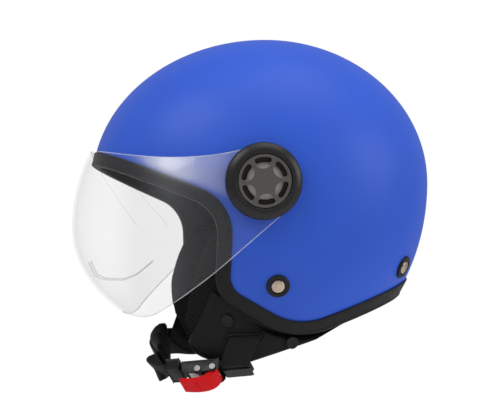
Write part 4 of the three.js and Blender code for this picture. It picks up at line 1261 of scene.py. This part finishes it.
def curve_through(points, t):
    """A centripetal curve through the points, at shares t of its parameter."""
    points = np.array(points, float)
    points = np.concatenate([[2 * points[0] - points[1]], points, [2 * points[-1] - points[-2]]])
    runs = len(points) - 3
    place = np.clip(np.asarray(t) * runs, 0, runs - 1e-9)
    i = place.astype(int)
    w = place - i
    p0, p1, p2, p3 = (points[i + k] for k in range(4))
    pairs = ((p0, p1), (p1, p2), (p2, p3))
    d0, d1, d2 = (np.maximum(np.linalg.norm(b - a, axis=1) ** 0.5, 1e-4) for a, b in pairs)
    d0, d1, d2 = d0[:, None], d1[:, None], d2[:, None]
    m1 = ((p1 - p0) / d0 - (p2 - p0) / (d0 + d1) + (p2 - p1) / d1) * d1
    m2 = ((p2 - p1) / d1 - (p3 - p1) / (d1 + d2) + (p3 - p2) / d2) * d1
    w = w[:, None]
    return ((2 * w**3 - 3 * w**2 + 1) * p1 + (w**3 - 2 * w**2 + w) * m1
            + (3 * w**2 - 2 * w**3) * p2 + (w**3 - w**2) * m2)


def band(stations, width, wall, lift=0.0, start=0.0, end=1.0, steps=160, round_power=6.0, ends=0.0):
    """A flat band with soft edges along a route."""
    t = np.linspace(start, end, steps)
    middle = curve_through([p for p, _ in stations], t)
    run = np.gradient(middle, axis=0)
    run /= np.linalg.norm(run, axis=1)[:, None]
    side = curve_through([d for _, d in stations], t)
    side -= run * np.sum(side * run, 1)[:, None]
    side /= np.linalg.norm(side, axis=1)[:, None]
    face = np.cross(run, side)
    angle = np.linspace(0, 2 * math.pi, 32, endpoint=False)
    c, s = np.cos(angle), np.sin(angle)
    across = np.sign(c) * np.abs(c) ** (2 / round_power) * width / 2
    up = np.sign(s) * np.abs(s) ** (2 / 2.4) * wall / 2
    full = rounded(np.linspace(0, 1, steps), ends) if ends else np.ones(steps)
    full = 0.25 + 0.75 * full
    narrowing = (1 - 0.12 * (1 - full))[:, None, None]
    grid = middle[:, None, :] + side[:, None, :] * across[None, :, None] * narrowing
    grid = grid + face[:, None, :] * (lift + up[None, :] * full[:, None])[..., None]
    run = np.concatenate([[0], np.cumsum(np.linalg.norm(np.diff(middle, axis=0), axis=1))])
    return grid, {"along": np.repeat(run, 32), "over": np.tile(across, steps)}


def straps():
    routes = strap_routes()
    for side, route in routes.items():
        grid, measures = band(route, STRAP["width"], STRAP["wall"], steps=240)
        made = Build().grid(grid, loop_columns=True, caps=True)
        made = made.piece(f"webbing_{side}", "helmet", "strap_webbing", WEBBING, weld=0, values=measures)
        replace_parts(made, f"chin_strap_{side}")
    lift = -(STRAP["wall"] / 2 + 2 * GAP + CHIN_PAD["wall"] / 2)
    pad, _ = band(routes["right"], CHIN_PAD["width"], CHIN_PAD["wall"], lift, CHIN_PAD["start"],
                  CHIN_PAD["end"], 80, 4, 0.12)
    made = Build().grid(pad, loop_columns=True, caps=True)
    made = made.piece("chin_cushion", "helmet", "lining_fabric", LEATHERETTE)
    puff(made, 1.0, 1.6)
    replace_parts(made, "chin_pad")


def block(build, low, high):
    """A box in the buckle's axes."""
    (x0, y0, z0), (x1, y1, z1) = low, high
    corners = [(x, y, z) for x in (x0, x1) for y in (y0, y1) for z in (z0, z1)]
    faces = [(0, 1, 3, 2), (4, 6, 7, 5), (0, 4, 5, 1), (2, 3, 7, 6), (0, 2, 6, 4), (1, 5, 7, 3)]
    build.add([in_buckle(*c) for c in corners], faces)


def slab(build, profile, y0, y1):
    """A closed [along, out] profile extruded across the buckle."""
    rows = [[in_buckle(x, y, z) for x, z in profile] for y in (y0, y1)]
    build.grid(np.array(rows), loop_columns=True, caps=True)


def buckle():
    body = Build()
    cheek = [(-15, -1.6), (15, -1.6), (15, 5.5), (12.5, 8.2), (-3, 8.5), (-11, 8.5), (-15, 4.5)]
    slab(body, cheek, -12, -10.2)
    slab(body, cheek, 10.2, 12)
    block(body, (-15, -12, -1.6), (15, 12, 0))
    block(body, (15, -12, -1.6), (CLAMP_END, CLAMP_TOP, 0))
    made = body.piece("buckle_channel", "helmet", "black_plastic", BLACK_PLASTIC, weld=0.0001)
    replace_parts(add_bevel(made, 0.5), "buckle_body")

    clamp_low = 4 * GAP + STRAP["wall"]
    clamp = Build()
    slab(clamp, [(CLAMP_FROM, clamp_low), (CLAMP_END, clamp_low), (CLAMP_END, clamp_low + 1.0),
                 (CLAMP_END - 2, clamp_low + 1.6), (CLAMP_FROM + 2, clamp_low + 1.6),
                 (CLAMP_FROM, clamp_low + 1.0)], -12, CLAMP_TOP)
    made = clamp.piece("clamp_plate", "helmet", "black_plastic", BLACK_PLASTIC)
    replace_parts(add_bevel(made, 0.4), "strap_clamp")

    hinge_x, hinge_z, hub, arm, arch, wall = 10, 5.4, 2.9, 27, 9, 2.6
    tip_x, tip_z = hinge_x - arm, hinge_z + arch
    top = bezier((hinge_x + hub, hinge_z), (hinge_x, hinge_z + 1.6 * arch), (tip_x, tip_z), 24)
    low = bezier((tip_x, tip_z - wall), (hinge_x - 4, tip_z), (hinge_x - hub, hinge_z), 24)
    lever = Build()
    slab(lever, [*map(tuple, top), *map(tuple, low)], -9.9, 9.9)
    for i in range(5):
        x, z = tip_x + 2.2 + i * 2.6, tip_z + 0.25 + i * 0.32
        grip = [(x - 0.7, z - 1.2), (x + 0.7, z - 1.0), (x + 0.5, z + 0.35), (x - 0.5, z + 0.35)]
        slab(lever, grip, -8.2, 8.2)
    turn = np.linspace(0, 2 * math.pi, 24, endpoint=False)
    ring = [(hinge_x + hub * math.cos(a), hinge_z + hub * math.sin(a)) for a in turn]
    slab(lever, ring, -9.9, -3.2)
    slab(lever, ring, 3.2, 9.9)
    made = lever.piece("lever_arm", "lever", "red_plastic", RED_PLASTIC, weld=0.0001, sharp=40)
    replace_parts(add_bevel(made, 0.45), "buckle_lever")

    ladder = Build()
    teeth = [(LADDER_END, GAP), (LADDER["inserted"] - HALF_LENGTH, GAP)]
    root = GAP + LADDER["wall"]
    for i in range(int(LADDER["inserted"] / LADDER["pitch"])):
        heel = LADDER["inserted"] - HALF_LENGTH - i * LADDER["pitch"]
        teeth += [(heel, root), (heel - LADDER["pitch"] + 0.2, root + LADDER["tooth"])]
    teeth += [(LADDER_END, root)]
    slab(ladder, teeth, -LADDER["width"] / 2, LADDER["width"] / 2)
    made = ladder.piece("toothed_strip", "helmet", "black_plastic", BLACK_PLASTIC)
    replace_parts(add_bevel(made, 0.25), "ladder_strip")

    keeper = Build()
    low, high, half = -GAP - STRAP["wall"] - 0.3, 2 * GAP + LADDER["wall"], STRAP["width"] / 2 + GAP
    x0, x1, wall = LADDER_END - 0.8, LADDER_END + 9.8, 1.8
    block(keeper, (x0, -half - wall, low - wall), (x1, half + wall, low))
    block(keeper, (x0, -half - wall, high), (x1, half + wall, high + wall))
    block(keeper, (x0, -half - wall, low - wall), (x1, -half, high + wall))
    block(keeper, (x0, half, low - wall), (x1, half + wall, high + wall))
    made = keeper.piece("keeper_loop", "helmet", "black_plastic", BLACK_PLASTIC, weld=0.0001)
    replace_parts(add_bevel(made, 0.5), "strap_keeper")


straps()
buckle()

# ---------------------------------------------------------------- finishes on the kept solids

KEPT = {
    "stud_socket": BLACK_PLASTIC,
    "rivet_washer": STEEL,
    "pivot_plate": BLACK_PLASTIC,
    "friction_washer": STEEL,
    "pivot_screw": STEEL,
    "pivot_nut": STEEL,
    "pawl_pin": PIN_STEEL,
    "lever_pin": PIN_STEEL,
    "lever_spring": STEEL,
    "buckle_pawl": STEEL,
}
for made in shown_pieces():
    for start, material in KEPT.items():
        if made.name.startswith(start):
            made.data.materials.clear()
            made.data.materials.append(material)
